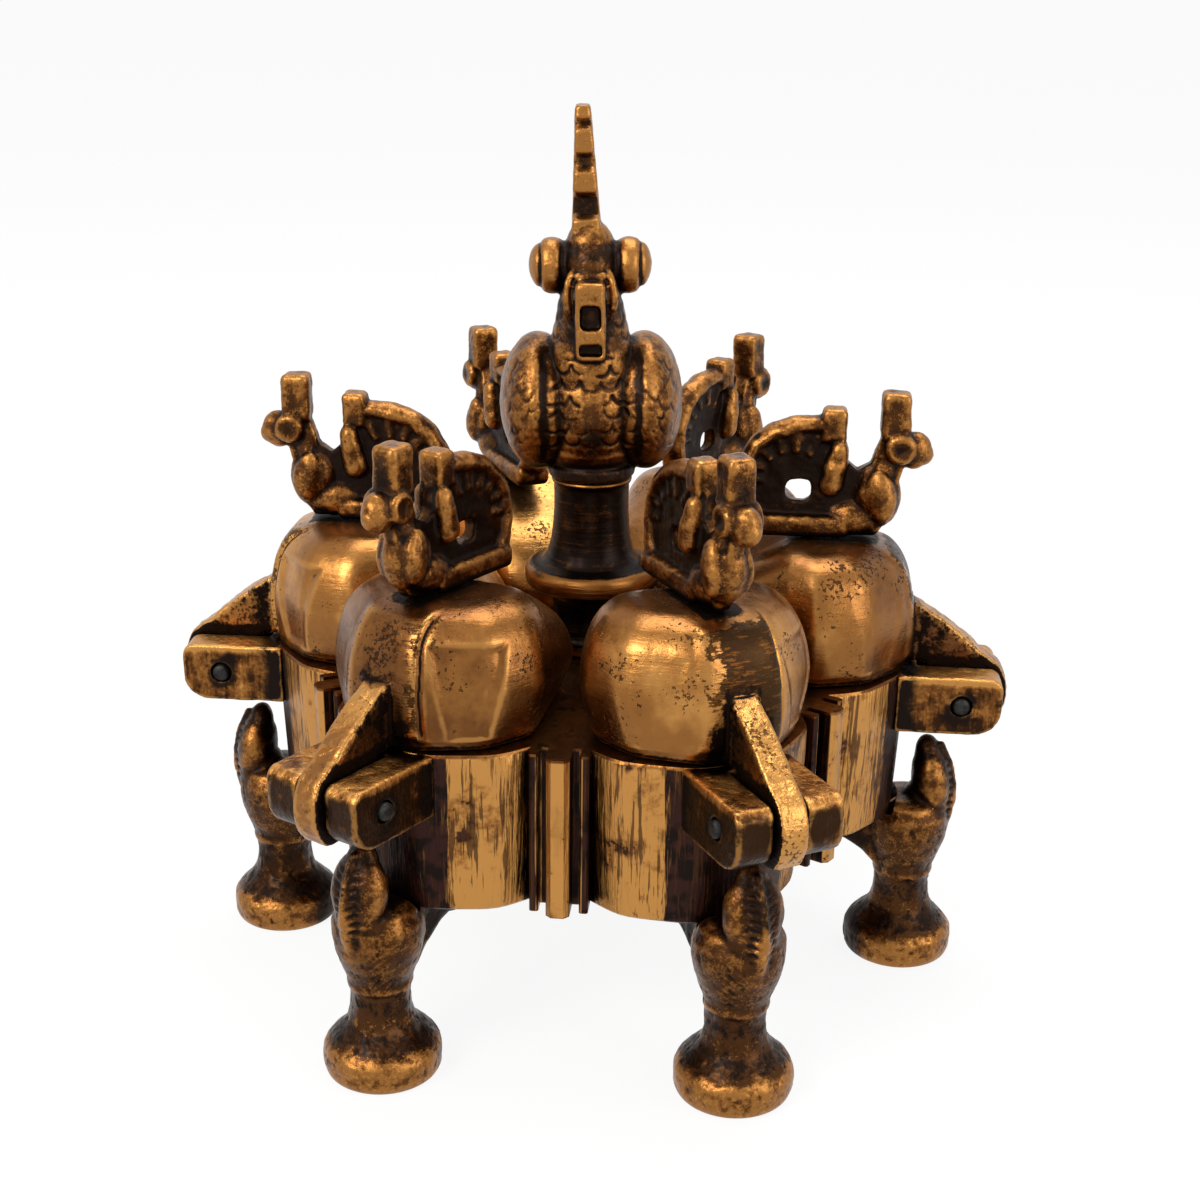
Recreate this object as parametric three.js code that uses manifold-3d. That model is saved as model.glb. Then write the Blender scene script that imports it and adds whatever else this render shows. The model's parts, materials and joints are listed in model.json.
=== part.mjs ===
import * as THREE from "three";
import { mergeVertices } from "three/addons/utils/BufferGeometryUtils.js";
import Module from "manifold-3d";

// A cast brass sindoor box: six petal cups in one tray, each with a hinged domed lid that carries
// a small peacock, six bird legs, and a large peacock on a turned pedestal as the handle.
// Millimetres, +Z up, feet on z = 0, the box centred on the Z axis.

// Driving dimensions
const cupCount = 6;
const floorHeight = 30.7;
const rimHeight = 59;
const petalCentre = 36.6;
const lobeRadius = 20.6;
const hingeStandout = 9.7;
const hingeDrop = 5.2;
const legStandout = 2.4;
const fit = 0.3;
const cutOver = 1;

// Tray: lobed wall, cups and the hollow hub
const lobeFootInset = 0.4;
const lobeFootRound = 0.8;
const cupWall = 3;
const cupWeb = 9;
const cupFloor = 3;
const cupFloorRound = 3;
const cupTipReach = 19.5;
const hubRadius = 22;
const hubHollowRadius = 7.4;
const hubDeck = 5;

// Pilasters in the corners between the lobes
const ribStandout = 15.4;
const ribWidth = 3.9;
const ribNose = 0.9;
const sideRibSetback = 2.1;
const sideRibWidth = 1.5;
const grooveWidth = 1.4;
const grooveDepth = 3;

// Hinge forks brazed to the wall, their pins, and the arms on the lids
const forkNose = 7.1;
const forkWidth = 18.6;
const forkDepth = 10.6;
const forkFootRound = 4.2;
const forkTipRound = 1.2;
const slotWidth = 6;
const pinRadius = 1.5;
const pinStandout = 0.5;
const pinChamfer = 0.4;
const armRise = 11.8;
const armNose = 8.6;
const armNoseRise = 3.7;
const armNoseFall = 1.2;
const armShoulder = 5.6;
const armShoulderRise = 1.1;
const armHeel = 6.2;
const armHeelFall = 2.4;
const armSoleBack = 3;
const toeReach = 7.6;
const toeAngle = THREE.MathUtils.degToRad(50);
const openAngle = THREE.MathUtils.degToRad(110);

// Lids
const lidHeight = 22.5;
const lidWall = 2.4;
const lidTop = 3;
const lidOverhang = 0.1;
const lidGap = 3.2;
const lidSideTurn = THREE.MathUtils.degToRad(5);
const lidTipReach = 14.5;
const lidSlopeSetback = 1.6;
const lidTipHeight = 12;
const lidBulgeHeight = 10;
const lidFootPinchShare = 0.12;

// Peacocks on the lids, and the rivets that hold them
const birdSetback = 11.4;
const birdLength = 33.8;
const birdHeight = 26.3;
const birdThickness = 4.4;
const birdBaseWidth = 6.4;
const birdBaseHeight = 3;
const birdRivetStandout = 1.9;
const birdRivetRadius = 1.3;
const birdRivetLength = 8;
const birdRivetHeadRadius = 2.8;
const birdRivetHeadHeight = 1.3;

// Legs and their rivets
const legTop = 32.4;
const footRadius = 10.1;
const legArmStandout = 0.4;
const legArmWidth = 8.4;
const legArmDepth = 5.6;
const legArmRootDepth = 11;
const legHeadReach = 4.3;
const legHeadRadius = 4.1;
const legHeadTop = 44;
const legHeadLength = 14.6;
const legRivetStandout = 5.4;
const legRivetRadius = 1.6;
const legRivetHeadRadius = 3;
const legRivetHeadHeight = 1.5;

// Handle: pedestal, peacock, stud, washer and nut
const pedestalHeight = 31.7;
const discRadius = 11.8;
const handleTurn = THREE.MathUtils.degToRad(-84.5);
const peacockHeight = 62.5;
const peacockDepth = 40;
const peacockWidth = 32.2;
const peacockLean = THREE.MathUtils.degToRad(0.9);
const beakWidth = 5.2;
const beakHoleWidth = 3.6;
const beakHoleHeight = 4.2;
const beakHoleDepth = 1.6;
const crestWidth = 4;
const crestTopWidth = 2.6;
const crestOffset = 0.9;
const crestTopOffset = 1.1;
const studRadius = 2.2;
const studGrip = 12;
const washerRadius = 6;
const washerHeight = 1.2;
const nutRadius = 4.6;
const nutHeight = 4;
const studTail = 2;

// Places worked out from the sizes above
const half = 0.5;
const pinHeight = rimHeight - hingeDrop;
const wallReach = petalCentre + lobeRadius;
const hingeReach = wallReach + hingeStandout;
const forkReach = hingeReach + forkNose;
const ribReach = petalCentre + ribStandout;
const sideRibReach = ribReach - sideRibSetback;
const grooveReach = sideRibReach - grooveDepth;
const legReach = wallReach + legStandout;
const legArmReach = petalCentre + legArmStandout;
const legRivetReach = petalCentre + legRivetStandout;
const lidSlopeReach = petalCentre - lidSlopeSetback;
const birdTail = petalCentre - birdSetback;
const birdRivetReach = petalCentre + birdRivetStandout;
const lidSeat = rimHeight + fit;
const birdSeat = lidSeat + lidHeight + fit;
const slotRoot = hingeReach + toeReach * Math.cos(toeAngle + openAngle) - fit;
const cornerLine = petalCentre * Math.sin(Math.PI / cupCount);
const pedestalSeat = rimHeight + fit;
const peacockSeat = pedestalSeat + pedestalHeight + fit;

// Counts of flat faces round curved pieces
const petalSides = 20;
const cupSides = 10;
const roundSides = 20;
const legSides = 12;
const smallSides = 8;
const nutSides = 6;
const swellSides = [8, 6];
const fineSwellSides = [12, 8];

const wasm = await Module();
wasm.setup();

// Joining and cutting

function signedVolume(position, triangles) {
  const [a, b, c] = [new THREE.Vector3(), new THREE.Vector3(), new THREE.Vector3()];
  let volume = 0;
  for (let i = 0; i < triangles.length; i += 3) {
    a.fromBufferAttribute(position, triangles[i]);
    b.fromBufferAttribute(position, triangles[i + 1]);
    c.fromBufferAttribute(position, triangles[i + 2]);
    volume += a.dot(b.cross(c));
  }
  return volume;
}

// A closed geometry as a solid: shared corners merged, flat triangles dropped, faces outwards.
function solidOf(geometry) {
  const bare = geometry.clone();
  bare.deleteAttribute("normal");
  bare.deleteAttribute("uv");
  const merged = mergeVertices(bare);
  const index = Array.from(merged.index.array);
  const triangles = [];
  for (let i = 0; i < index.length; i += 3) {
    const [p, q, r] = index.slice(i, i + 3);
    if (p !== q && q !== r && r !== p) triangles.push(p, q, r);
  }
  const position = merged.getAttribute("position");
  if (signedVolume(position, triangles) < 0) triangles.reverse();
  return new wasm.Manifold(new wasm.Mesh({
    numProp: 3,
    vertProperties: new Float32Array(position.array),
    triVerts: new Uint32Array(triangles),
  }));
}

function join(solids) {
  return solids.reduce((whole, piece) => whole.add(piece));
}

function cut(solid, cutters) {
  return cutters.reduce((left, cutter) => left.subtract(cutter), solid);
}

function named(name, solid, material) {
  const { vertProperties, triVerts } = solid.getMesh();
  const geometry = new THREE.BufferGeometry();
  geometry.setAttribute("position", new THREE.BufferAttribute(vertProperties, 3));
  geometry.setIndex(new THREE.BufferAttribute(triVerts, 1));
  geometry.computeVertexNormals();
  const mesh = new THREE.Mesh(geometry, material);
  mesh.name = name;
  return mesh;
}

// Shapes that several pieces share. Outlines are drawn as (outward, up).

function block(from, to, width, low, high) {
  const geometry = new THREE.BoxGeometry(to - from, width, high - low);
  geometry.translate((from + to) * half, 0, (low + high) * half);
  return solidOf(geometry);
}

function turned(profile, sides = roundSides, reach = 0) {
  const points = profile.map(([radius, height]) => new THREE.Vector2(radius, height));
  const geometry = new THREE.LatheGeometry(points, sides);
  geometry.rotateX(Math.PI / 2);
  geometry.translate(reach, 0, 0);
  return solidOf(geometry);
}

function post(radius, low, high, reach = 0, sides = smallSides) {
  return turned([[0, low], [radius, low], [radius, high], [0, high]], sides, reach);
}

function plate(shape, thickness) {
  const geometry = new THREE.ExtrudeGeometry(shape, {
    depth: thickness,
    curveSegments: 4,
    bevelEnabled: false,
  });
  geometry.translate(0, 0, -thickness * half);
  geometry.rotateX(Math.PI / 2);
  return solidOf(geometry);
}

function outline(points) {
  return new THREE.Shape(points.map(([outward, up]) => new THREE.Vector2(outward, up)));
}

function ellipsoid(centre, radii, [around, down] = swellSides) {
  const geometry = new THREE.SphereGeometry(1, around, down);
  geometry.rotateX(Math.PI / 2);
  geometry.scale(...radii);
  geometry.translate(...centre);
  return solidOf(geometry);
}

// Swellings given as [outward, side, up, half length, half width, half height], in shares of a
// length, a width and a height. One that stands off the middle has a twin on the other side.
function swellings(shares, [length, width, height], [x, z], sidesOfEach) {
  return shares.flatMap(([outward, side, up, halfLength, halfWidth, halfHeight]) => {
    const radii = [halfLength * length, halfWidth * width, halfHeight * height];
    const sides = side === 0 ? [0] : [side, -side];
    return sides.map((away) => {
      const centre = [x + outward * length, away * width, z + up * height];
      return ellipsoid(centre, radii, sidesOfEach);
    });
  });
}

// A petal is bounded by flats: five across the lobe, one on each side and three round the tip.
// Each flat has its direction from the petal's centre and its distance; the corners are eased.
// The sides run along the next petals unless they are turned, which rounds the petal.
function petalFlats({ lobe, side, tip, sideTurn }) {
  const tipCornerShare = 0.97;
  const directions = [36, 72, 120, 152].map((degrees) => THREE.MathUtils.degToRad(degrees));
  const distances = [lobe, lobe * Math.cos(2 * sideTurn), side, tip * tipCornerShare];
  directions[2] -= sideTurn;
  const flats = directions.map((direction, i) => [direction, distances[i]]);
  const mirrored = flats.map(([direction, distance]) => [-direction, distance]);
  return [[0, lobe], ...flats, ...mirrored, [Math.PI, tip]];
}

function petalReach(angle, flats) {
  const crispness = 40;
  const sum = flats.reduce((total, [direction, distance]) => {
    const facing = Math.max(0, Math.cos(angle - direction));
    return total + (facing * lobeRadius / distance) ** crispness;
  }, 0);
  return lobeRadius / sum ** (1 / crispness);
}

// A profile of [share of the petal's reach, height] carried round the petal's outline.
function petalSolid(profile, bounds, sides = petalSides) {
  return solidOf(petalGeometry(profile, bounds, sides));
}

function petalGeometry(profile, bounds, sides = petalSides) {
  const flats = petalFlats(bounds);
  const points = profile.map(([share, height]) => new THREE.Vector2(share, height));
  const geometry = new THREE.LatheGeometry(points, sides);
  geometry.rotateX(Math.PI / 2);
  const position = geometry.getAttribute("position");
  for (let i = 0; i < position.count; i += 1) {
    const [x, y] = [position.getX(i), position.getY(i)];
    const reach = petalReach(Math.atan2(y, x), flats);
    position.setXY(i, petalCentre + x * reach, y * reach);
  }
  return geometry;
}

// A lid's top falls towards the middle of the box, and away from the hinge side its foot draws in
// under the bulge of the dome.
function lidWarp(geometry) {
  const position = geometry.getAttribute("position");
  for (let i = 0; i < position.count; i += 1) {
    const [x, y, up] = [position.getX(i), position.getY(i), position.getZ(i) - lidSeat];
    const inward = Math.max(0, lidSlopeReach - x) / (lidSlopeReach - lidTipReach);
    const kept = 1 - inward * (1 - lidTipHeight / lidHeight);
    const pinch = 1 - lidFootPinchShare * Math.max(0, 1 - Math.max(0, up) / lidBulgeHeight);
    const pinchedX = x < petalCentre ? petalCentre + (x - petalCentre) * pinch : x;
    position.setXYZ(i, pinchedX, y * pinch, lidSeat + up * (up > 0 ? kept : 1));
  }
  return geometry;
}

function petal(lobe, web, tipReach, sideTurn = 0, inset = 0) {
  return {
    lobe: lobe - inset,
    side: cornerLine - web * half - inset,
    tip: petalCentre - tipReach - inset,
    sideTurn,
  };
}

// Tray

function trayLobe() {
  const foot = 1 - lobeFootInset / lobeRadius;
  return petalSolid([
    [0, floorHeight],
    [foot - lobeFootRound / lobeRadius, floorHeight],
    [foot, floorHeight + lobeFootRound],
    [1, rimHeight],
    [0, rimHeight],
  ], petal(lobeRadius, 0, hubHollowRadius));
}

function trayPilaster() {
  const sideRib = ribWidth * half + grooveWidth + sideRibWidth * half;
  const backing = 2 * sideRib;
  const from = petalCentre - lobeRadius;
  const nose = ribNose;
  const rib = new THREE.Shape();
  rib.moveTo(from, -ribWidth * half);
  rib.lineTo(ribReach - nose, -ribWidth * half);
  rib.lineTo(ribReach, nose - ribWidth * half);
  rib.lineTo(ribReach, ribWidth * half - nose);
  rib.lineTo(ribReach - nose, ribWidth * half);
  rib.lineTo(from, ribWidth * half);
  const wallHeight = rimHeight - floorHeight;
  const ribGeometry = new THREE.ExtrudeGeometry(rib, { depth: wallHeight, bevelEnabled: false });
  ribGeometry.translate(0, 0, floorHeight);
  const sides = [sideRib, -sideRib].map((away) => {
    return block(from, sideRibReach, sideRibWidth, floorHeight, rimHeight).translate([0, away, 0]);
  });
  return join([
    solidOf(ribGeometry),
    block(from, grooveReach, backing, floorHeight, rimHeight),
    ...sides,
  ]);
}

// A fork follows the round of the wall that it is brazed to.
function forkSolid() {
  const inner = wallReach - cupWall;
  const low = rimHeight - forkDepth;
  const shape = new THREE.Shape();
  shape.moveTo(inner, low);
  shape.lineTo(forkReach - forkFootRound, low);
  shape.absarc(forkReach - forkFootRound, low + forkFootRound, forkFootRound, -Math.PI / 2, 0);
  shape.absarc(forkReach - forkTipRound, rimHeight - forkTipRound, forkTipRound, 0, Math.PI / 2);
  shape.lineTo(inner, rimHeight);
  const [under, over] = [low - cutOver, rimHeight + cutOver];
  const wall = [[0, under], [1, under], [1, over], [0, over]];
  return cut(plate(shape, forkWidth), [
    petalSolid(wall, petal(lobeRadius + fit, 0, hubHollowRadius)),
    block(slotRoot, forkReach + cutOver, slotWidth, under, over),
    acrossPin(pinRadius + fit, forkWidth + 2 * cutOver),
  ]);
}

function acrossPin(radius, length, chamfer = 0) {
  const end = length * half;
  const profile = [[0, -end], [radius - chamfer, -end], [radius, chamfer - end],
    [radius, end - chamfer], [radius - chamfer, end], [0, end]];
  const geometry = new THREE.LatheGeometry(profile.map((point) => new THREE.Vector2(...point)), smallSides);
  geometry.translate(hingeReach, 0, pinHeight);
  return solidOf(geometry);
}

function cupHollow() {
  const bottom = floorHeight + cupFloor;
  const roundShare = 1 - cupFloorRound / lobeRadius;
  return petalSolid([
    [0, bottom],
    [roundShare, bottom],
    [1, bottom + cupFloorRound],
    [1, rimHeight + cutOver],
    [0, rimHeight + cutOver],
  ], petal(lobeRadius - cupWall, cupWeb, cupTipReach, lidSideTurn), cupSides);
}

function around(solid, step) {
  return solid.rotate([0, 0, step * 360 / cupCount]);
}

function traySolid() {
  const steps = [...Array(cupCount).keys()];
  const lobe = trayLobe();
  const pilaster = trayPilaster();
  const body = join([
    post(hubRadius, floorHeight, rimHeight, 0, legSides),
    ...steps.map((step) => around(lobe, step)),
    ...steps.map((step) => around(pilaster, step + half)),
  ]);
  const cutters = join([
    cupHollow(),
    post(legRivetRadius + fit, floorHeight - cutOver, floorHeight + cupFloor + cutOver, legRivetReach),
  ]);
  return cut(body, [
    ...steps.map((step) => around(cutters, step)),
    post(hubHollowRadius, floorHeight - cutOver, rimHeight - hubDeck, 0, legSides),
    post(studRadius + fit, floorHeight, rimHeight + cutOver),
  ]);
}

// Lids

function lidArm() {
  const wall = wallReach + lidOverhang - lidWall * half;
  const toe = [
    hingeReach + toeReach * Math.cos(toeAngle),
    pinHeight - toeReach * Math.sin(toeAngle),
  ];
  return plate(outline([
    [wall, lidSeat],
    [wall, rimHeight + armRise],
    [wall + lidWall, rimHeight + armRise],
    [hingeReach + armShoulder, rimHeight + armShoulderRise],
    [hingeReach + armNose, pinHeight + armNoseRise],
    [hingeReach + armNose, pinHeight - armNoseFall],
    toe,
    [hingeReach - armSoleBack, toe[1]],
    [hingeReach - armHeel, pinHeight - armHeelFall],
    [hingeReach - armHeel, lidSeat],
  ]), slotWidth - 2 * fit);
}

function lidSolid() {
  const domeShares = [[0, 0], [0.985, 0], [0.985, 0.07], [1.01, 0.09], [1.01, 0.4], [0.97, 0.62],
    [0.91, 0.81], [0.78, 0.94], [0.6, 1], [0, 1]];
  const hollowShares = [[1, 0], [0.98, 0.42], [0.9, 0.7], [0.66, 1], [0, 1]];
  const dome = domeShares.map(([share, up]) => [share, lidSeat + up * lidHeight]);
  const hollow = hollowShares.map(([share, up]) => [share, lidSeat + up * (lidHeight - lidTop)]);
  const mouth = [[0, lidSeat - cutOver], [1, lidSeat - cutOver]];
  const reach = lobeRadius + lidOverhang;
  const outside = petal(reach, lidGap, lidTipReach, lidSideTurn);
  const inside = petal(reach, lidGap, lidTipReach, lidSideTurn, lidWall);
  return cut(join([solidOf(lidWarp(petalGeometry(dome, outside))), lidArm()]), [
    solidOf(lidWarp(petalGeometry([...mouth, ...hollow], inside, cupSides))),
    acrossPin(pinRadius + fit, slotWidth),
    post(birdRivetRadius + fit, lidSeat, birdSeat, birdRivetReach),
  ]);
}

// Peacock on a lid

function birdOutline() {
  const shares = [[0.735, 0], [0.79, 0.1], [0.878, 0.25], [0.895, 0.38], [0.845, 0.466],
    [0.917, 0.492], [0.98, 0.56], [0.93, 0.653], [0.887, 0.716], [0.89, 0.96], [0.87, 1],
    [0.75, 1], [0.732, 0.96], [0.738, 0.746], [0.707, 0.623], [0.685, 0.515], [0.638, 0.463],
    [0.58, 0.515], [0.561, 0.85], [0.436, 0.85], [0.425, 0.739], [0.351, 0.754], [0.227, 0.716],
    [0.116, 0.619], [0.033, 0.478], [0, 0.325], [0.022, 0.175], [0.072, 0.097], [0.061, 0]];
  const shape = outline(shares.map(([along, up]) => [
    birdTail + along * birdLength,
    birdSeat + up * birdHeight,
  ]));
  const holeShares = { along: 0.33, up: 0.3, halfLength: 0.062, halfHeight: 0.09 };
  const hole = new THREE.Path();
  hole.absellipse(
    birdTail + holeShares.along * birdLength,
    birdSeat + holeShares.up * birdHeight,
    holeShares.halfLength * birdLength,
    holeShares.halfHeight * birdHeight,
    0,
    2 * Math.PI,
  );
  shape.holes.push(hole);
  return shape;
}

function birdSolid() {
  const swellShares = [
    [0.782, 0, 0.29, 0.118, 0.82, 0.21],
    [0.53, 0.42, 0.38, 0.085, 0.42, 0.17],
    [0.823, 0, 0.6, 0.095, 0.66, 0.125],
    [0.86, 0.5, 0.61, 0.036, 0.3, 0.05],
  ];
  const [tailEndShare, breastEndShare] = [0.061, 0.735];
  const baseFrom = birdTail + tailEndShare * birdLength;
  const baseTo = birdTail + breastEndShare * birdLength;
  const size = [birdLength, birdThickness, birdHeight];
  const body = join([
    plate(birdOutline(), birdThickness),
    block(baseFrom, baseTo, birdBaseWidth, birdSeat, birdSeat + birdBaseHeight),
    ...swellings(swellShares, size, [birdTail, birdSeat]),
  ]);
  const under = new THREE.BoxGeometry(2 * birdLength, birdLength, birdSeat);
  under.translate(birdTail, 0, birdSeat * half);
  return cut(body, [
    solidOf(under),
    post(birdRivetRadius + fit, birdSeat - cutOver, birdSeat + birdRivetGrip() + fit, birdRivetReach),
  ]);
}

function birdRivetGrip() {
  return birdRivetLength - lidTop - fit;
}

function birdRivetSolid() {
  const under = lidSeat + lidHeight - lidTop - fit;
  const edge = under - birdRivetHeadHeight * half;
  return turned([
    [0, under - birdRivetHeadHeight],
    [birdRivetHeadRadius * half, under - birdRivetHeadHeight],
    [birdRivetHeadRadius, edge],
    [birdRivetHeadRadius, under],
    [birdRivetRadius, under],
    [birdRivetRadius, birdSeat + birdRivetGrip()],
    [0, birdSeat + birdRivetGrip()],
  ], smallSides, birdRivetReach);
}

// Legs

function legTurned() {
  const shares = [[0, 0], [0.92, 0], [1, 0.05], [1, 0.15], [0.9, 0.2], [0.6, 0.265], [0.48, 0.33],
    [0.45, 0.42], [0.52, 0.44], [0.46, 0.475], [0.6, 0.62], [0.66, 0.8], [0.6, 0.95], [0.42, 1],
    [0, 1]];
  const profile = shares.map(([out, up]) => [out * footRadius, up * legTop]);
  return turned(profile, legSides, legReach);
}

function legSolid() {
  const headShares = [
    [0, 0, -0.5, 1, 1, 0.5],
    [0.42, 0, -0.93, 0.55, 0.45, 0.19],
    [-0.3, 0, -1.02, 1.15, 1.2, 0.36],
  ];
  const size = [legHeadRadius, legHeadRadius, legHeadLength];
  const armTop = floorHeight - fit;
  const clearance = post(lobeRadius + fit, armTop, rimHeight, petalCentre, petalSides);
  const arm = outline([
    [legArmReach, armTop],
    [legArmReach, armTop - legArmDepth * half],
    [legRivetReach + legRivetHeadRadius, armTop - legArmDepth],
    [legReach - footRadius * half, armTop - legArmRootDepth],
    [legReach, armTop - legArmRootDepth],
    [legReach, armTop],
  ]);
  const grip = post(legRivetRadius + fit, 0, armTop + cutOver, legRivetReach);
  return cut(join([
    legTurned(),
    plate(arm, legArmWidth),
    ...swellings(headShares, size, [legReach + legHeadReach, legHeadTop]),
  ]), [clearance, grip]);
}

function legRivetSolid() {
  const low = floorHeight - fit - legArmDepth - fit;
  const high = floorHeight + cupFloor + fit;
  const tail = legRivetHeadHeight;
  return turned([
    [0, low - tail],
    [legRivetHeadRadius * half, low - tail],
    [legRivetHeadRadius, low],
    [legRivetRadius, low],
    [legRivetRadius, high],
    [legRivetHeadRadius, high],
    [legRivetHeadRadius, high + legRivetHeadHeight * half],
    [legRivetHeadRadius * half, high + legRivetHeadHeight],
    [0, high + legRivetHeadHeight],
  ], smallSides, legRivetReach);
}

// Handle

function pedestalSolid() {
  const shares = [[0, 0], [0.66, 0], [0.66, 0.08], [0.56, 0.18], [0.58, 0.32], [0.92, 0.385],
    [1, 0.415], [1, 0.48], [0.95, 0.505], [0.76, 0.53], [0.66, 0.6], [0.58, 0.75], [0.55, 0.9],
    [0.64, 0.94], [0.64, 0.99], [0.6, 1], [0, 1]];
  const profile = shares.map(([out, up]) => [out * discRadius, pedestalSeat + up * pedestalHeight]);
  return cut(turned(profile), [
    post(studRadius + fit, pedestalSeat - cutOver, peacockSeat),
  ]);
}

function peacockOutline() {
  const shares = [[0.62, 0.02], [0.72, 0.09], [0.75, 0.2], [0.71, 0.31], [0.63, 0.4], [0.62, 0.5],
    [0.69, 0.48], [0.69, 0.385], [0.78, 0.385], [0.785, 0.57], [0.75, 0.605], [0.66, 0.625],
    [0.64, 0.68], [0.585, 0.705], [0.62, 0.745], [0.625, 0.79], [0.585, 0.81], [0.615, 0.835],
    [0.615, 0.885], [0.58, 0.895], [0.605, 0.915], [0.605, 0.955], [0.575, 0.965], [0.595, 0.975],
    [0.59, 1], [0.5, 1], [0.47, 0.85], [0.43, 0.71], [0.4, 0.6], [0.41, 0.48], [0.38, 0.42],
    [0.365, 0.52], [0.27, 0.52], [0.255, 0.42], [0.16, 0.39], [0.07, 0.3], [0.02, 0.18],
    [0.03, 0.06], [0.1, 0.01], [0.2, 0.03], [0.28, 0.1], [0.36, 0.02]];
  return outline(shares.map(([along, up]) => [
    (along - half) * peacockDepth,
    peacockSeat + up * peacockHeight,
  ]));
}

function peacockSolid() {
  const swellShares = [
    [0.5, 0, 0.2, 0.27, 0.3, 0.21],
    [0.5, 0, 0.36, 0.2, 0.24, 0.16],
    [0.48, 0.275, 0.21, 0.3, 0.225, 0.19],
    [0.54, 0, 0.6, 0.16, 0.16, 0.11],
    [0.52, 0.215, 0.6, 0.12, 0.1, 0.078],
    [0.47, 0, 0.02, 0.2, 0.25, 0.12],
  ];
  const size = [peacockDepth, peacockWidth, peacockHeight];
  const upright = join([
    cut(plate(peacockOutline(), beakWidth), crestWedges()),
    ...swellings(swellShares, size, [-half * peacockDepth, peacockSeat], fineSwellSides),
  ]);
  const leaning = cut(upright, [beakHole()])
    .translate([0, 0, -peacockSeat])
    .rotate([THREE.MathUtils.radToDeg(peacockLean), 0, 0])
    .translate([0, 0, peacockSeat]);
  const under = new THREE.BoxGeometry(2 * peacockDepth, peacockDepth, peacockSeat);
  under.translate(0, 0, peacockSeat * half);
  return cut(leaning, [
    solidOf(under),
    post(studRadius + fit, peacockSeat - cutOver, peacockSeat + studGrip + fit),
  ]).rotate([0, 0, THREE.MathUtils.radToDeg(handleTurn)]);
}

// The crest thins towards its top and leans a little to one side, so a wedge comes off each side.
function crestWedges() {
  const crestFootShare = 0.72;
  const foot = peacockSeat + crestFootShare * peacockHeight;
  const top = peacockSeat + peacockHeight;
  return [1, -1].map((side) => {
    const outer = side * beakWidth;
    const shape = outline([
      [outer, foot],
      [side * crestWidth * half - crestOffset, foot],
      [side * crestTopWidth * half - crestTopOffset, top],
      [side * crestTopWidth * half - crestTopOffset, top + cutOver],
      [outer, top + cutOver],
    ]);
    const geometry = new THREE.ExtrudeGeometry(shape, { depth: peacockDepth, bevelEnabled: false });
    geometry.translate(0, 0, -peacockDepth * half);
    geometry.rotateX(Math.PI / 2);
    geometry.rotateZ(Math.PI / 2);
    return solidOf(geometry);
  });
}

function beakHole() {
  const [frontShare, upShare] = [0.78, 0.5];
  const front = (frontShare - half) * peacockDepth;
  const middle = peacockSeat + upShare * peacockHeight;
  return block(front - beakHoleDepth, front + cutOver, beakHoleWidth,
    middle - beakHoleHeight * half, middle + beakHoleHeight * half);
}

function studSolid() {
  return post(studRadius, nutLow() - studTail, peacockSeat + studGrip);
}

function washerLow() {
  return rimHeight - hubDeck - fit - washerHeight;
}

function nutLow() {
  return washerLow() - fit - nutHeight;
}

function ringOf(radius, low, high, sides) {
  return cut(post(radius, low, high, 0, sides), [post(studRadius + fit, low - cutOver, high + cutOver)]);
}

// Materials

function brass(color, roughness) {
  return new THREE.MeshStandardMaterial({ color, roughness, metalness: 1 });
}

const rubbedBrass = brass(0xb98a45, 0.32);
const patinaBrass = brass(0x7a5a2e, 0.45);
const darkBrass = brass(0x4a3520, 0.5);
const pinSteel = new THREE.MeshStandardMaterial({ color: 0x4b4d50, roughness: 0.4, metalness: 1 });

// The finished box

function sindoorBox() {
  const box = new THREE.Group();
  box.add(named("tray", traySolid(), rubbedBrass));
  const pieces = {
    lid: [lidSolid(), rubbedBrass],
    lid_bird: [birdSolid(), patinaBrass],
    lid_bird_rivet: [birdRivetSolid(), darkBrass],
    hinge_fork: [forkSolid(), rubbedBrass],
    hinge_pin: [acrossPin(pinRadius, forkWidth + 2 * pinStandout, pinChamfer), pinSteel],
    leg: [legSolid(), patinaBrass],
    leg_rivet: [legRivetSolid(), darkBrass],
  };
  for (let step = 0; step < cupCount; step += 1) {
    const petalGroup = new THREE.Group();
    petalGroup.rotation.z = step * 2 * Math.PI / cupCount;
    for (const [name, [solid, material]] of Object.entries(pieces)) {
      petalGroup.add(named(`${name}_${step + 1}`, solid, material));
    }
    box.add(petalGroup);
  }
  box.add(named("handle_pedestal", pedestalSolid(), darkBrass));
  box.add(named("handle_peacock", peacockSolid(), patinaBrass));
  box.add(named("handle_stud", studSolid(), pinSteel));
  box.add(named("handle_washer", ringOf(washerRadius, washerLow(), washerLow() + washerHeight, legSides),
    pinSteel));
  box.add(named("handle_nut", ringOf(nutRadius, nutLow(), nutLow() + nutHeight, nutSides), pinSteel));
  return box;
}

export default sindoorBox();
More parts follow.
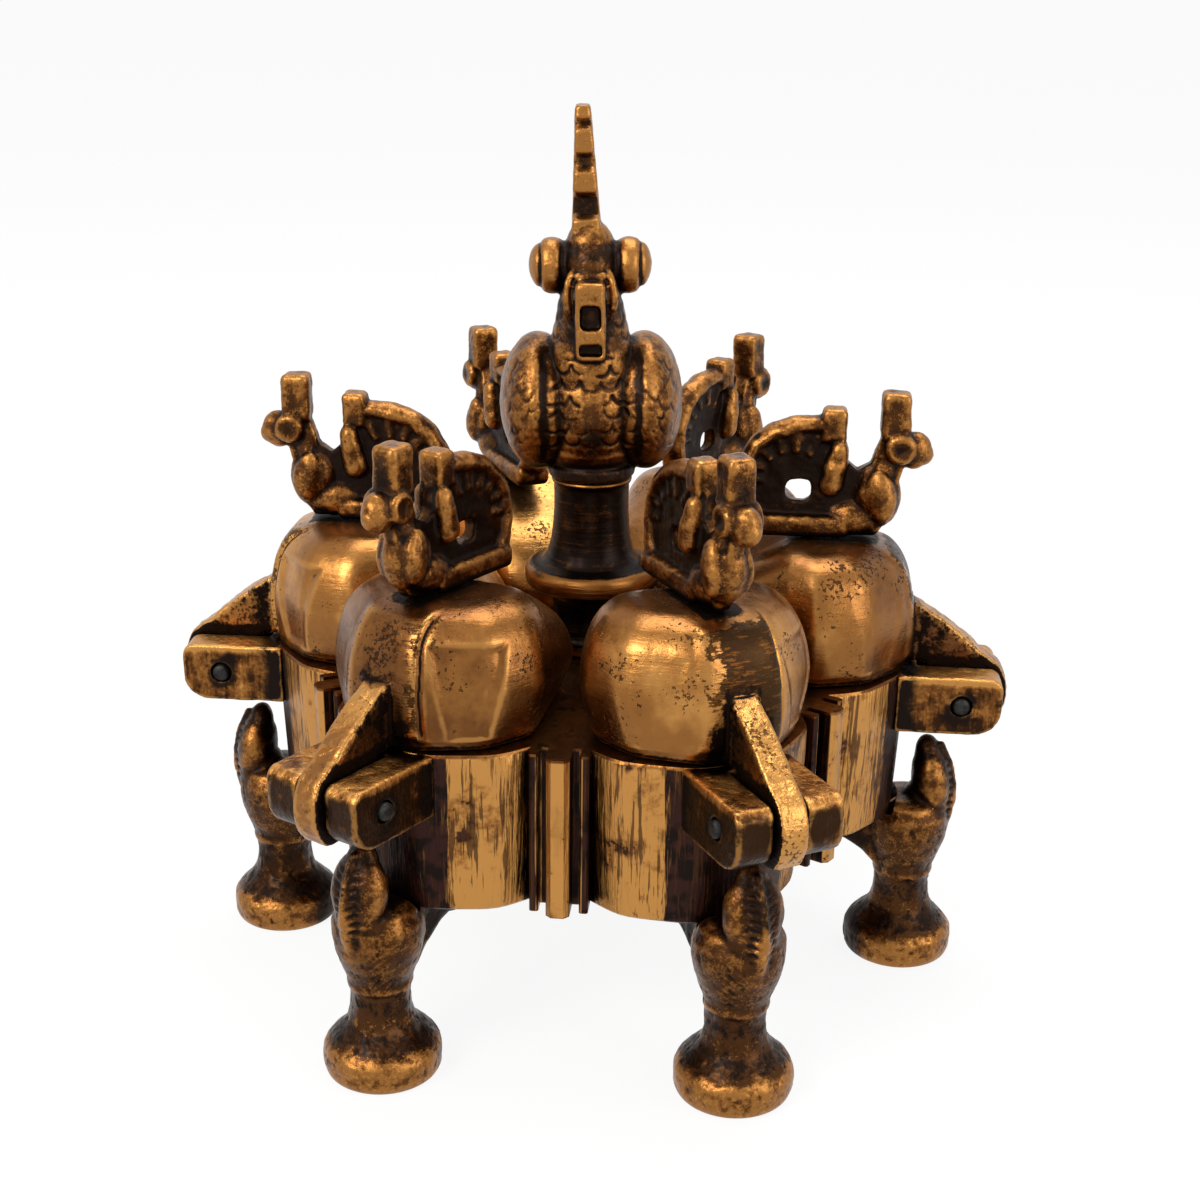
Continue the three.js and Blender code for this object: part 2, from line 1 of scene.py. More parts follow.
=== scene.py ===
import json
import math
from functools import cache, cached_property
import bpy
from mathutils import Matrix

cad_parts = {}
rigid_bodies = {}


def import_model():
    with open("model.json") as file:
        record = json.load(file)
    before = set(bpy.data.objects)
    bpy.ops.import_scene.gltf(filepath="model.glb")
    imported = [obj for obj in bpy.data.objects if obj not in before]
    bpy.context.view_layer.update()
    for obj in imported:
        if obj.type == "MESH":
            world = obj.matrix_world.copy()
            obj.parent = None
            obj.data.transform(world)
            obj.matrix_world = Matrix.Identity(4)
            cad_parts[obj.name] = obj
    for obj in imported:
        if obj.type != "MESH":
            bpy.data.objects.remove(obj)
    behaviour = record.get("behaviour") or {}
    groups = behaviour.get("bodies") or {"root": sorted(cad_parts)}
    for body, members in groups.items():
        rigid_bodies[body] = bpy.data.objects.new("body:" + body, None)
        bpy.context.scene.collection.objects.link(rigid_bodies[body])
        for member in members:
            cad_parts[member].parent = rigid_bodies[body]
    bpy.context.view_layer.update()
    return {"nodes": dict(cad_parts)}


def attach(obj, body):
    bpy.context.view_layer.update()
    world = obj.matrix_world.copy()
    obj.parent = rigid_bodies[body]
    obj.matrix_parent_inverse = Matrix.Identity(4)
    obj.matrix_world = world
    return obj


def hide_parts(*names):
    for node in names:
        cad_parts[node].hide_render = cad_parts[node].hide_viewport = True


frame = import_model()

from types import SimpleNamespace

import bmesh
import bpy
import numpy as np
from bpy.props import FloatProperty, FloatVectorProperty, IntProperty, PointerProperty
from mathutils import Euler, Matrix, Vector, noise

bl_info = {
    "name": "Peacock sindoor box",
    "version": (1, 0, 0),
    "blender": (4, 5, 0),
    "location": "View3D > Sidebar > Sindoor box",
    "description": "Cast brass sindoor box with six hinged petal lids, made round its packed frame",
    "category": "Add Mesh",
}

# Shapes are worked out in millimetres, in the frame's axes, and scaled to metres when finished.
# A petal piece is made pointing along +X and then copied round the box.
MM = 0.001
PETALS = range(1, 7)
STEP = math.tau / len(PETALS)

# Where the fixings go: outwards, or (outwards, up) for the hinge's line
HINGE = (66.9, 53.8)
LEG_RIVET = 42
LID_RIVET = 38.5

# Heights that the lids, the small peacocks and the large one stand at
LID_SEAT = 59.3
BIRD_SEAT = 82.1
PEACOCK_SEAT = 91.3

# Finest detail that each kind of casting holds
FORK_GRAIN = 0.3
LID_GRAIN = 0.38
BIRD_GRAIN = 0.29
LEG_GRAIN = 0.315

WHITE = (1, 1, 1, 1)


# Sizes and colours that a user would change

def length(name, description, default):
    return FloatProperty(name=name, description=description, default=default, unit="LENGTH")


def angle(name, description, degrees):
    return FloatProperty(
        name=name, description=description, default=math.radians(degrees), subtype="ANGLE"
    )


def tint(name, description, default):
    return FloatVectorProperty(
        name=name, description=description, default=default, subtype="COLOR", min=0, max=1
    )


class BoxSizes(bpy.types.PropertyGroup):
    """The box's own sizes, as its solids have them"""

    floor: length("Floor", "Height of the underside of the tray", 0.0307)
    rim: length("Rim", "Height of the rim that the lids rest on", 0.059)
    petal_centre: length("Petal centre", "From the middle of the box to a cup's middle", 0.0366)
    lobe_radius: length("Lobe radius", "Radius of a cup's outer wall", 0.0206)
    cup_wall: length("Cup wall", "Thickness of the wall round a cup", 0.003)
    lid_height: length("Lid height", "From the rim to a lid's crown", 0.0225)
    lid_wall: length("Lid wall", "Thickness of a lid's dome", 0.0024)
    fit: length("Fit", "Clearance between neighbouring pieces", 0.0003)
    leg_reach: length("Leg reach", "From the middle of the box to a leg's middle", 0.0596)
    handle_turn: angle("Handle turn", "Direction that the large peacock faces", -84.5)
    handle_lean: angle("Handle lean", "Sideways lean of the large peacock", 0.9)
    grain: FloatProperty(
        name="Peacock grain", description="Finest detail of the large peacock, in millimetres",
        default=0.3, min=0.2, max=1,
    )
    smooth_sides: IntProperty(
        name="Turning steps", description="Flat faces round a turned piece", default=72, min=12
    )


class BoxColours(bpy.types.PropertyGroup):
    """Colours of the brass and the steel"""

    gold: tint("Gold", "Brass where it is rubbed bright", (0.5, 0.236, 0.06))
    honey: tint("Honey", "Brass with a thin tarnish", (0.26, 0.106, 0.024))
    umber: tint("Umber", "Brass with a thick tarnish", (0.13, 0.047, 0.011))
    brown: tint("Brown", "Brown patina", (0.062, 0.024, 0.0075))
    # Also the colour of painted shade in slots, recesses and under parts
    soot: tint("Soot", "Nearly black patina in the hollows", (0.011, 0.0062, 0.0045))
    plum: tint("Plum", "Purple-brown film on the filed walls", (0.034, 0.0125, 0.0095))
    steel: tint("Steel", "Hinge pins", (0.045, 0.043, 0.042))
    floor: tint("Floor", "Pale studio floor", (0.9, 0.9, 0.9))


def sizes():
    return bpy.context.scene.sindoor_sizes


def colours():
    """The colours by name, as a shader takes them"""
    group = bpy.context.scene.sindoor_colours
    names = BoxColours.__annotations__
    return SimpleNamespace(**{name: (*getattr(group, name), 1.0) for name in names})


def darker(colour, share):
    return (*(part * share for part in colour[:3]), 1.0)


# Shader maths: a value that changes over a surface, and the nodes of one finish

class Value:
    """A socket whose sums and products add Math nodes"""

    def __init__(self, finish, socket):
        self.finish = finish
        self.socket = socket

    def __add__(self, other):
        return self.finish.maths("ADD", self, other)

    __radd__ = __add__

    def __sub__(self, other):
        return self.finish.maths("SUBTRACT", self, other)

    def __rsub__(self, other):
        return self.finish.maths("SUBTRACT", other, self)

    def __mul__(self, other):
        return self.finish.maths("MULTIPLY", self, other)

    __rmul__ = __mul__

    def __truediv__(self, other):
        return self.finish.maths("DIVIDE", self, other)

    def __pow__(self, other):
        return self.finish.maths("POWER", self, other)

    def __abs__(self):
        return self.finish.maths("ABSOLUTE", self)

    def most(self, *others):
        """The highest of this and the others"""
        value = self
        for other in others:
            value = self.finish.maths("MAXIMUM", value, other)
        return value

    def rise(self, low, high):
        """0 up to low, 1 from high on, and eased between them"""
        settings = {"interpolation_type": "SMOOTHSTEP"}
        return self.finish.node("ShaderNodeMapRange", settings, {0: self, 1: low, 2: high})

    def between(self, low, rise, fall, high):
        """1 from rise to fall, 0 below low and above high"""
        return self.rise(low, rise) * (1 - self.rise(fall, high))

    def blend(self, first, second):
        """The first colour where this is 0, the second where it is 1"""
        settings = {"data_type": "RGBA", "clamp_factor": True}
        return self.finish.node("ShaderNodeMix", settings, {0: self, 6: first, 7: second}, 2)


class Finish:
    """The nodes of one material or world, read from Object coordinates and attributes"""

    def __init__(self, name, kind="materials"):
        self.owner = getattr(bpy.data, kind).new(name)
        self.owner.use_nodes = True
        self.tree = self.owner.node_tree
        self.tree.nodes.clear()

    def node(self, kind, settings=None, inputs=None, output=0):
        made = self.tree.nodes.new(kind)
        for key, value in (settings or {}).items():
            setattr(made, key, value)
        for key, value in (inputs or {}).items():
            if isinstance(value, Value):
                self.tree.links.new(value.socket, made.inputs[key])
            else:
                made.inputs[key].default_value = value
        return Value(self, made.outputs[output]) if made.outputs else None

    def maths(self, operation, *values):
        settings = {"operation": operation}
        return self.node("ShaderNodeMath", settings, dict(enumerate(values)))

    @cached_property
    def place(self):
        return self.node("ShaderNodeTexCoord", output="Object")

    def axes(self):
        return [self.node("ShaderNodeSeparateXYZ", inputs={0: self.place}, output=i) for i in range(3)]

    def attributes(self, *names):
        return [self.node("ShaderNodeAttribute", {"attribute_name": name}, output="Fac") for name in names]

    def noise(self, scale, detail, rough):
        """Chance about 0; a scale of three numbers stretches it"""
        place = self.place
        if isinstance(scale, tuple):
            place = self.node("ShaderNodeMapping", inputs={"Vector": place, "Scale": scale})
            scale = 1
        inputs = {"Vector": place, "Scale": scale, "Detail": detail, "Roughness": rough}
        return self.node("ShaderNodeTexNoise", inputs=inputs) - 0.5

    def shown(self, shader, kind="Material"):
        self.node(f"ShaderNodeOutput{kind}", inputs={"Surface": shader})
        return self.owner

    def metal(self, colour, roughness, height, depth, film=0.0):
        """Metal of this colour, under a thin clear film that whitens its highlights"""
        bump = {"Strength": 1.0, "Distance": depth, "Height": height}
        return self.shown(self.node("ShaderNodeBsdfPrincipled", inputs={
            "Base Color": colour, "Roughness": roughness, "Metallic": 1.0, "Coat Weight": film,
            "Coat Roughness": 0.25, "Normal": self.node("ShaderNodeBump", inputs=bump),
        }))


def layered(colour, *coats):
    """The colour under coats, each the share that it covers and its own colour"""
    for share, tone in coats:
        colour = share.blend(colour, tone)
    return colour


# Mesh helpers

def fresh(name, data):
    piece = bpy.data.objects.new(name, data)
    bpy.context.scene.collection.objects.link(piece)
    return piece


def mesh_of(shape):
    bmesh.ops.recalc_face_normals(shape, faces=shape.faces)
    mesh = bpy.data.meshes.new("shape")
    shape.to_mesh(mesh)
    shape.free()
    return mesh


def made(maker, *values):
    """Mesh of the one shape that a maker draws"""
    shape = bmesh.new()
    maker(shape, *values)
    return mesh_of(shape)


def changed(mesh, **modifiers):
    """The mesh with modifiers applied, each named by its type and given its settings"""
    piece = fresh("rough", mesh)
    for kind, settings in modifiers.items():
        modifier = piece.modifiers.new(kind, kind)
        for key, value in settings.items():
            setattr(modifier, key, value)
    graph = bpy.context.evaluated_depsgraph_get()
    mesh = bpy.data.meshes.new_from_object(piece.evaluated_get(graph), depsgraph=graph)
    bpy.data.objects.remove(piece)
    return mesh


def fused(mesh, grain, passes):
    """One skin round all the overlapping closed shapes, softened as a casting is"""
    skin = {"mode": "VOXEL", "voxel_size": grain, "use_smooth_shade": True}
    return changed(mesh, REMESH=skin, SMOOTH={"factor": 0.5, "iterations": passes})


def eased(mesh, width):
    """The mesh with its corners bevelled"""
    angle = math.radians(38)
    return changed(mesh, BEVEL={
        "width": width, "segments": 2, "limit_method": "ANGLE", "angle_limit": angle,
    })


def combined(base, operation, shapes):
    """Mesh of base after one exact boolean with all the shapes"""
    others = bpy.data.collections.new("others")
    for shape in shapes:
        others.objects.link(bpy.data.objects.new("other", shape))
    mesh = changed(base, BOOLEAN={
        "operation": operation, "operand_type": "COLLECTION", "collection": others, "solver": "EXACT",
    })
    for other in list(others.objects):
        bpy.data.objects.remove(other)
    bpy.data.collections.remove(others)
    return mesh


def points_of(mesh, what="co"):
    flat = np.empty(len(mesh.vertices) * 3)
    mesh.vertices.foreach_get(what, flat)
    return flat.reshape(-1, 3)


def skin_of(mesh):
    """Points, normals, and views of the points' x, y and z, which follow when points are moved"""
    points = points_of(mesh)
    return points, points_of(mesh, "normal"), *points.T


def move_points(mesh, points):
    mesh.vertices.foreach_set("co", points.ravel())
    mesh.update()


def smooth(low, high, values):
    share = np.clip((values - low) / (high - low), 0, 1)
    return share * share * (3 - 2 * share)


def fall(low, high, values):
    return 1 - smooth(low, high, values)


def between(low, rise, drop, high, values):
    return smooth(low, rise, values) * fall(drop, high, values)


def bump(values, width):
    return np.exp(-((values / width) ** 2))


def uneven(points, size, layers=3):
    """Soft chance waves of about this size at each point, from about -1 to 1"""
    return np.array([noise.fractal(Vector(point) / size, 1.0, 2.0, layers) for point in points])


def note(mesh, name, *values, domain="POINT"):
    """Keeps the highest of the values at each point or face, for the finish to read"""
    attribute = mesh.attributes.new(name, "FLOAT", domain)
    attribute.data.foreach_set("value", np.maximum.reduce(values).astype(np.float32))


def note_share(mesh, name, *values):
    note(mesh, name, np.clip(np.maximum.reduce(values), 0, 1))


def averaged(points, ends, shares, passes):
    for _ in range(passes):
        total = np.stack([
            np.bincount(ends[:, 0], points[ends[:, 1], axis], len(points))
            + np.bincount(ends[:, 1], points[ends[:, 0], axis], len(points))
            for axis in range(3)
        ], axis=1)
        points = (points + total * shares) / 2
    return points


def note_relief(mesh):
    """Notes how far each point stands out of its surroundings, narrowly and broadly"""
    points, normals = skin_of(mesh)[:2]
    ends = np.empty(len(mesh.edges) * 2, np.int64)
    mesh.edges.foreach_get("vertices", ends)
    ends = ends.reshape(-1, 2)
    counts = np.bincount(ends.ravel(), minlength=len(points))
    shares = 1 / np.maximum(counts, 1)[:, None]
    skin = soft = averaged(points, ends, shares, 2)
    for name, passes, scale in (("ridge", 12, 0.11), ("swell", 70, 0.5)):
        soft = averaged(soft, ends, shares, passes)
        standing = ((skin - soft) * normals).sum(1) / scale
        note_share(mesh, name, 0.5 + 0.5 * standing)


def settle(mesh, points, low=-math.inf, high=math.inf):
    """Moves the points, kept between two heights, and notes their relief"""
    points[:, 2] = np.clip(points[:, 2], low, high)
    move_points(mesh, points)
    note_relief(mesh)


def turned_copies(mesh, offset=0.0):
    """The mesh in each of the six places round the box, in place of the one it was made in"""
    copies = [mesh.copy() for _ in PETALS]
    for step, copy in enumerate(copies):
        copy.transform(Matrix.Rotation(STEP * (step + offset), 4, "Z"))
    bpy.data.meshes.remove(mesh)
    return copies


def placed(mesh, name, body, finish, node):
    """A finished piece in metres, riding on its body in place of its CAD node"""
    mesh.transform(Matrix.Scale(MM, 4))
    mesh.name = name
    piece = fresh(name, mesh)
    mesh.materials.clear()
    mesh.materials.append(finish())
    mesh.shade_smooth()
    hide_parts(node)
    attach(piece, body)


def copied_round(mesh, name, body, slot, finish, node):
    """A copy of a petal piece in each of its places; names hold {} for the number"""
    for number, copy in zip(PETALS, turned_copies(mesh)):
        placed(copy, name.format(number), body.format(number), finish, node.format(number))


# Shapes that the castings are put together from, in millimetres

def set_down(shape, points, place, turn):
    bmesh.ops.rotate(shape, cent=(0, 0, 0), matrix=Euler(turn).to_matrix(), verts=points)
    bmesh.ops.translate(shape, vec=place, verts=points)


def blob(shape, centre, radii, turn=(0, 0, 0), fine=20):
    """An egg-shaped swelling"""
    points = bmesh.ops.create_uvsphere(shape, u_segments=fine, v_segments=fine // 2, radius=1)["verts"]
    bmesh.ops.scale(shape, vec=radii, verts=points)
    set_down(shape, points, centre, turn)


def twins(shape, centre, radii, turn=(0, 0, 0), fine=20):
    """The same swelling on both sides"""
    x, y, z = centre
    roll, pitch, yaw = turn
    for side in (1, -1):
        blob(shape, (x, side * y, z), radii, (side * roll, pitch, side * yaw), fine)


def lines_at(points):
    """The edges that meet the points, each once"""
    return list(dict.fromkeys(line for point in points for line in point.link_edges))


def soften(shape, lines, width):
    return bmesh.ops.bevel(
        shape, geom=lines, offset=width, segments=2, profile=0.5, affect="EDGES", material=-1
    )


def bar(shape, low, high, edge, turn=(0, 0, 0)):
    """A block between two corners with its edges rounded"""
    low, high = Vector(low), Vector(high)
    points = bmesh.ops.create_cube(shape, size=1)["verts"]
    bmesh.ops.scale(shape, vec=high - low, verts=points)
    rounded_off = soften(shape, lines_at(points), edge)
    set_down(shape, rounded_off["verts"], (low + high) / 2, turn)


def pulled(shape, corners, way):
    """A solid from the face between the corners, pulled along the way; gives all its points"""
    near = [shape.verts.new(corner) for corner in corners]
    grown = bmesh.ops.extrude_face_region(shape, geom=[shape.faces.new(near)])["geom"]
    far = [item for item in grown if isinstance(item, bmesh.types.BMVert)]
    bmesh.ops.translate(shape, vec=way, verts=far)
    return near + far


def prism(shape, plan, low, high):
    """An upright solid over a plan of (x, y) points"""
    pulled(shape, [(x, y, low) for x, y in plan], (0, 0, high - low))


def plate(shape, outline, thickness, edge=0.0):
    """An outline of (outward, up) points, as a plate that stands on the petal's middle plane"""
    points = pulled(shape, [(x, -thickness / 2, z) for x, z in outline], (0, thickness, 0))
    if edge:
        ends = [(line, *line.verts) for line in lines_at(points)]
        rims = [line for line, a, b in ends if abs(a.co.y - b.co.y) < thickness / 2]
        soften(shape, rims, edge)


def ridge(shape, path, wide=1.0, fine=12):
    """Overlapping beads along a path of (x, y, z, size) stops, wide times as wide as they are thick"""
    stops = np.array(path, float)
    gaps = np.linalg.norm(np.diff(stops[:, :3], axis=0), axis=1)
    along = np.concatenate([[0], np.cumsum(gaps)])
    count = max(3, int(along[-1] / (0.4 * stops[:, 3].min())) + 1)
    spots = np.linspace(0, along[-1], count)
    for x, y, z, size in zip(*(np.interp(spots, along, column) for column in stops.T)):
        blob(shape, (x, y, z), (size, size * wide, size), fine=fine)


def turned(shape, profile, steps, reach=0.0):
    """A profile of (radius, height) carried round an upright line, closed where it meets itself"""
    rings = {}
    for radius, height in dict.fromkeys(profile):
        count = steps if radius else 1
        turns = [math.tau * step / count for step in range(count)]
        ring = [
            shape.verts.new((reach + radius * math.cos(turn), radius * math.sin(turn), height))
            for turn in turns
        ]
        rings[radius, height] = ring * (steps // count)
    for start, end in zip(profile, profile[1:]):
        near, far = rings[start], rings[end]
        for step in range(steps):
            corners = (near[step - 1], near[step], far[step], far[step - 1])
            shape.faces.new(list(dict.fromkeys(corners)))


def drum(radius, low, high, steps, reach=0.0):
    """Mesh of a plain upright cylinder"""
    return made(turned, [(0, low), (radius, low), (radius, high), (0, high)], steps, reach)


def barrel(shape, centre, radius, half, edge, steps=28):
    """A short drum lying across the petal's middle plane"""
    lying = made(turned, [
        (0, -half), (radius - edge, -half), (radius, edge - half), (radius, half - edge),
        (radius - edge, half), (0, half),
    ], steps)
    lying.transform(Matrix.Translation((centre[0], 0, centre[1])) @ Matrix.Rotation(-math.pi / 2, 4, "X"))
    shape.from_mesh(lying)
    bpy.data.meshes.remove(lying)


def rounded(profile, times):
    """The profile with its corners cut off that many times"""
    for _ in range(times):
        pairs = zip(profile, profile[1:])
        middle = [
            tuple(a * (1 - share) + b * share for a, b in zip(first, second))
            for first, second in pairs for share in (0.25, 0.75)
        ]
        profile = [profile[0], *middle, profile[-1]]
    return profile


# The petal outline that the tray's lobes, the cups and the lids share

def petal_bounds(lobe, web, tip_reach, turn=0.0, inset=0.0):
    centre = sizes().petal_centre / MM
    side = centre * math.sin(STEP / 2) - web / 2
    return lobe - inset, side - inset, centre - tip_reach - inset, turn


def petal_reach(angles, bounds, crispness):
    """Distance from the petal's middle to its outline, which is flats with eased corners"""
    lobe, side, tip, turn = bounds
    shoulder = lobe * math.cos(math.radians(2 * turn))
    half = [(36, lobe), (72, shoulder), (120 - turn, side), (152, tip * 0.97)]
    flats = [(0, lobe), (180, tip), *half, *((-degrees, far) for degrees, far in half)]
    total = sum(
        np.maximum(0, np.cos(angles - math.radians(degrees)) / far) ** crispness
        for degrees, far in flats
    )
    return total ** (-1 / crispness)


def petal_solid(profile, bounds, steps, crispness=40):
    """A profile of (share of the petal's reach, height) carried round the petal's outline"""
    mesh = made(turned, profile, steps)
    points = points_of(mesh)
    reach = petal_reach(np.arctan2(points[:, 1], points[:, 0]), bounds, crispness)
    points[:, 0] = points[:, 0] * reach + sizes().petal_centre / MM
    points[:, 1] *= reach
    move_points(mesh, points)
    return mesh


# Finishes

def petal_turn(finish, x, y):
    """Where a point lies in its petal's sector of the box, from -0.5 to 0.5"""
    return finish.maths("FRACT", finish.maths("ARCTAN2", y, x) / STEP + 6.5) - 0.5


@cache
def rubbed_brass():
    """The lids: satin brass, tarnished, with painted shade low down and on the lids and arm sides turned
    from the lamps, pitted, with a scratched dark film along the keel
    """
    tone = colours()
    finish = Finish("Rubbed brass")
    x, y, z = finish.axes()
    ridge, swell, grime_and_shade, tarnish_and_shade, coat = finish.attributes("ridge", "swell", "grime_and_shade", "tarnish_and_shade", "film")
    cloud, cluster = finish.noise(95, 3, 0.6), finish.noise(110, 3, 0.6)
    mottle, speck = finish.noise(420, 4, 0.65), finish.noise(1500, 3, 0.6)
    scratches = finish.noise((300, 300, 2400), 3, 0.7)
    # The x and y terms paint shade on the lids turned from the lamps and light on those facing them; the
    # cloud is tarnish that differs at random
    tarnish_and_shade = tarnish_and_shade + x * 9.0 - y * 3.6 + x * y * 420 + cloud * 1.2
    satin = (tarnish_and_shade + mottle * 0.4).rise(0.0, 0.5).blend(tone.gold, tone.honey)
    brown = (tarnish_and_shade + mottle * 0.7).rise(0.5, 1.05)
    worn = (ridge + mottle * 0.3).rise(0.6, 0.84) * 0.6
    film = coat * 0.52 + x * coat * 9.5 + cloud * 0.9 + scratches * 0.75 + mottle * 1.2
    film = film.rise(0.36, 0.46)
    old = (scratches + mottle * 0.8).rise(0.02, 0.18).blend(tone.soot, darker(tone.umber, 0.8))
    pits = (speck + cluster * 0.9 + coat * 0.07 - x * coat * 1.5).rise(0.17, 0.23)
    creases = 1 - (ridge + mottle * 0.2).rise(0.04, 0.26)
    valleys = 1 - swell.rise(0.04, 0.3)
    # Painted shade and grime: the noted share darkens the arm's root and sides, under the bird, the seam
    # and the inside
    grime_and_shade = (grime_and_shade + mottle * 1.2 + speck * 0.5).rise(0.42, 0.72)
    arm = ((x * x + y * y) ** 0.5).rise(0.0578, 0.0592)
    spots = (speck + mottle * 0.9).rise(0.1, 0.2) * arm * 0.5
    dark = creases.most(grime_and_shade, pits * 0.8, valleys * 0.5, spots)
    colour = layered(
        satin, (brown, tone.umber), (worn, tone.gold), (film * 0.93, old), (dark, tone.soot)
    )
    rough = 0.31 + mottle * 0.25 + film * 0.1 + dark * 0.2 + scratches * 0.12
    height = mottle * (0.45 + arm * 0.9) + scratches * 0.3 + speck * (0.12 + arm * 0.35) - pits * 0.7
    return finish.metal(colour, rough, height, 0.0002, (1 - dark) * (1 - film) * 0.13)


@cache
def patina_brass():
    """Birds and legs: dark brown cast brass, flecked with gold and rubbed on what stands out, with painted
    shade in recesses and under parts, and painted highlights on upturned faces and the crest
    """
    tone = colours()
    finish = Finish("Patina brass")
    ridge, swell, grime_and_shade, rubbed_and_lit = finish.attributes("ridge", "swell", "grime_and_shade", "rubbed_and_lit")
    cloud, mottle = finish.noise(95, 3, 0.6), finish.noise(420, 4, 0.65)
    speck, fleck = finish.noise(1500, 3, 0.6), finish.noise(2600, 3, 0.7)
    base = (cloud + mottle * 0.5).rise(-0.1, 0.12).blend(tone.brown, darker(tone.brown, 0.45))
    # The bare share is rubbed metal, and also painted highlight on upturned faces and the crest
    high = ridge * 0.5 + swell * 0.5 + rubbed_and_lit * 0.24 - grime_and_shade * 0.3
    soft = (high + mottle * 0.7 + cloud * 0.5).rise(0.46, 0.76)
    rubbed = (high + mottle * 0.9 + speck * 0.5 + cloud * 0.5).rise(0.62, 0.86)
    light = (high + speck + mottle).rise(0.7, 1.0).blend(tone.honey, tone.gold)
    flecks = (fleck + mottle * 0.9 + high * 0.5).rise(0.34, 0.4)
    creases = 1 - (ridge + mottle * 0.3).rise(0.16, 0.42)
    valleys = 1 - swell.rise(0.05, 0.36)
    # Painted shade from the grime share in recesses and under parts, and patina in the hollows
    dark = creases.most(valleys, (grime_and_shade + mottle * 1.4 + speck * 0.6).rise(0.42, 0.75))
    pits = (speck + mottle * 0.4).rise(0.19, 0.26)
    colour = layered(
        base, (soft * 0.75, tone.umber), (rubbed * 0.9, light), (flecks * 0.75, tone.honey),
        (dark * 0.94, tone.soot), (pits * 0.7, tone.soot),
    )
    height = mottle * 0.7 + speck * 0.3 + fleck * 0.15 - pits * 0.6
    return finish.metal(colour, 0.36 + mottle * 0.3 + dark * 0.15, height, 0.00022, 0.05)


@cache
def filed_brass():
    """The tray: walls filed upright, gold in the middle of each panel and plum at the pilasters"""
    tone = colours()
    finish = Finish("Filed brass")
    x, y, z = finish.axes()
    across = abs(petal_turn(finish, x, y))
    streaks, fine = finish.noise((420, 420, 38), 4, 0.6), finish.noise((1700, 1700, 80), 3, 0.6)
    cloud, blotch = finish.noise(75, 3, 0.6), finish.noise(200, 2, 0.5)
    mottle, speck = finish.noise(380, 4, 0.65), finish.noise(1500, 3, 0.6)
    ragged = streaks * 1.5 + fine * 1.1 + cloud * 0.5
    panel = (across.between(0.15, 0.235, 0.335, 0.42) + ragged).rise(0.34, 0.5)
    rib = across.rise(0.464, 0.467)
    strip = (across.between(0.424, 0.428, 0.436, 0.44) * 0.75 + ragged).rise(0.4, 0.55)
    warm = (mottle + cloud).rise(0.0, 0.22).blend(tone.gold, tone.honey)
    warm = (rib * 0.7).blend(warm, tone.gold)
    film = finish.noise(330, 2, 0.5).rise(-0.06, 0.1).blend(tone.plum, tone.soot)
    film = (fine.rise(0.04, 0.12) * 0.7).blend(film, tone.brown)
    clean = panel.most(rib * (1 - (mottle + speck * 0.5).rise(0.12, 0.2) * 0.5), strip * 0.7)
    scored = (fine * 1.4 + streaks * 0.9 + cloud * 0.7).rise(0.05, 0.16) * (1 - rib * 0.85)
    stain = (cloud + mottle * 0.8).rise(0.17, 0.22)
    solder = (speck + mottle * 0.6).rise(0.15, 0.2) * blotch.rise(0.04, 0.12)
    shown = clean * (1 - scored * 0.8) * (1 - stain * 0.9)
    wall = layered(film, (shown, warm), (solder * (1 - clean) * 0.5, tone.steel))
    deck = (cloud + mottle * 0.4).rise(-0.12, 0.1).blend(tone.umber, tone.honey)
    deck = (mottle + speck * 0.3).rise(0.03, 0.16).blend(deck, tone.brown)
    reach = (x * x + y * y) ** 0.5
    side = z.between(0.0306, 0.0310, 0.0584, 0.0587) * reach.rise(0.0435, 0.0445)
    edge = finish.attributes("edge")[0] * (mottle + streaks).rise(-0.2, 0.1)
    colour = layered(deck, (side, wall), (edge, tone.gold))
    rough = 0.34 + mottle * 0.25 + (1 - clean) * side * 0.1
    height = side * (streaks + fine * 0.7) + mottle * 0.5 + speck * 0.15
    return finish.metal(colour, rough, height, 0.00025, 0.08)


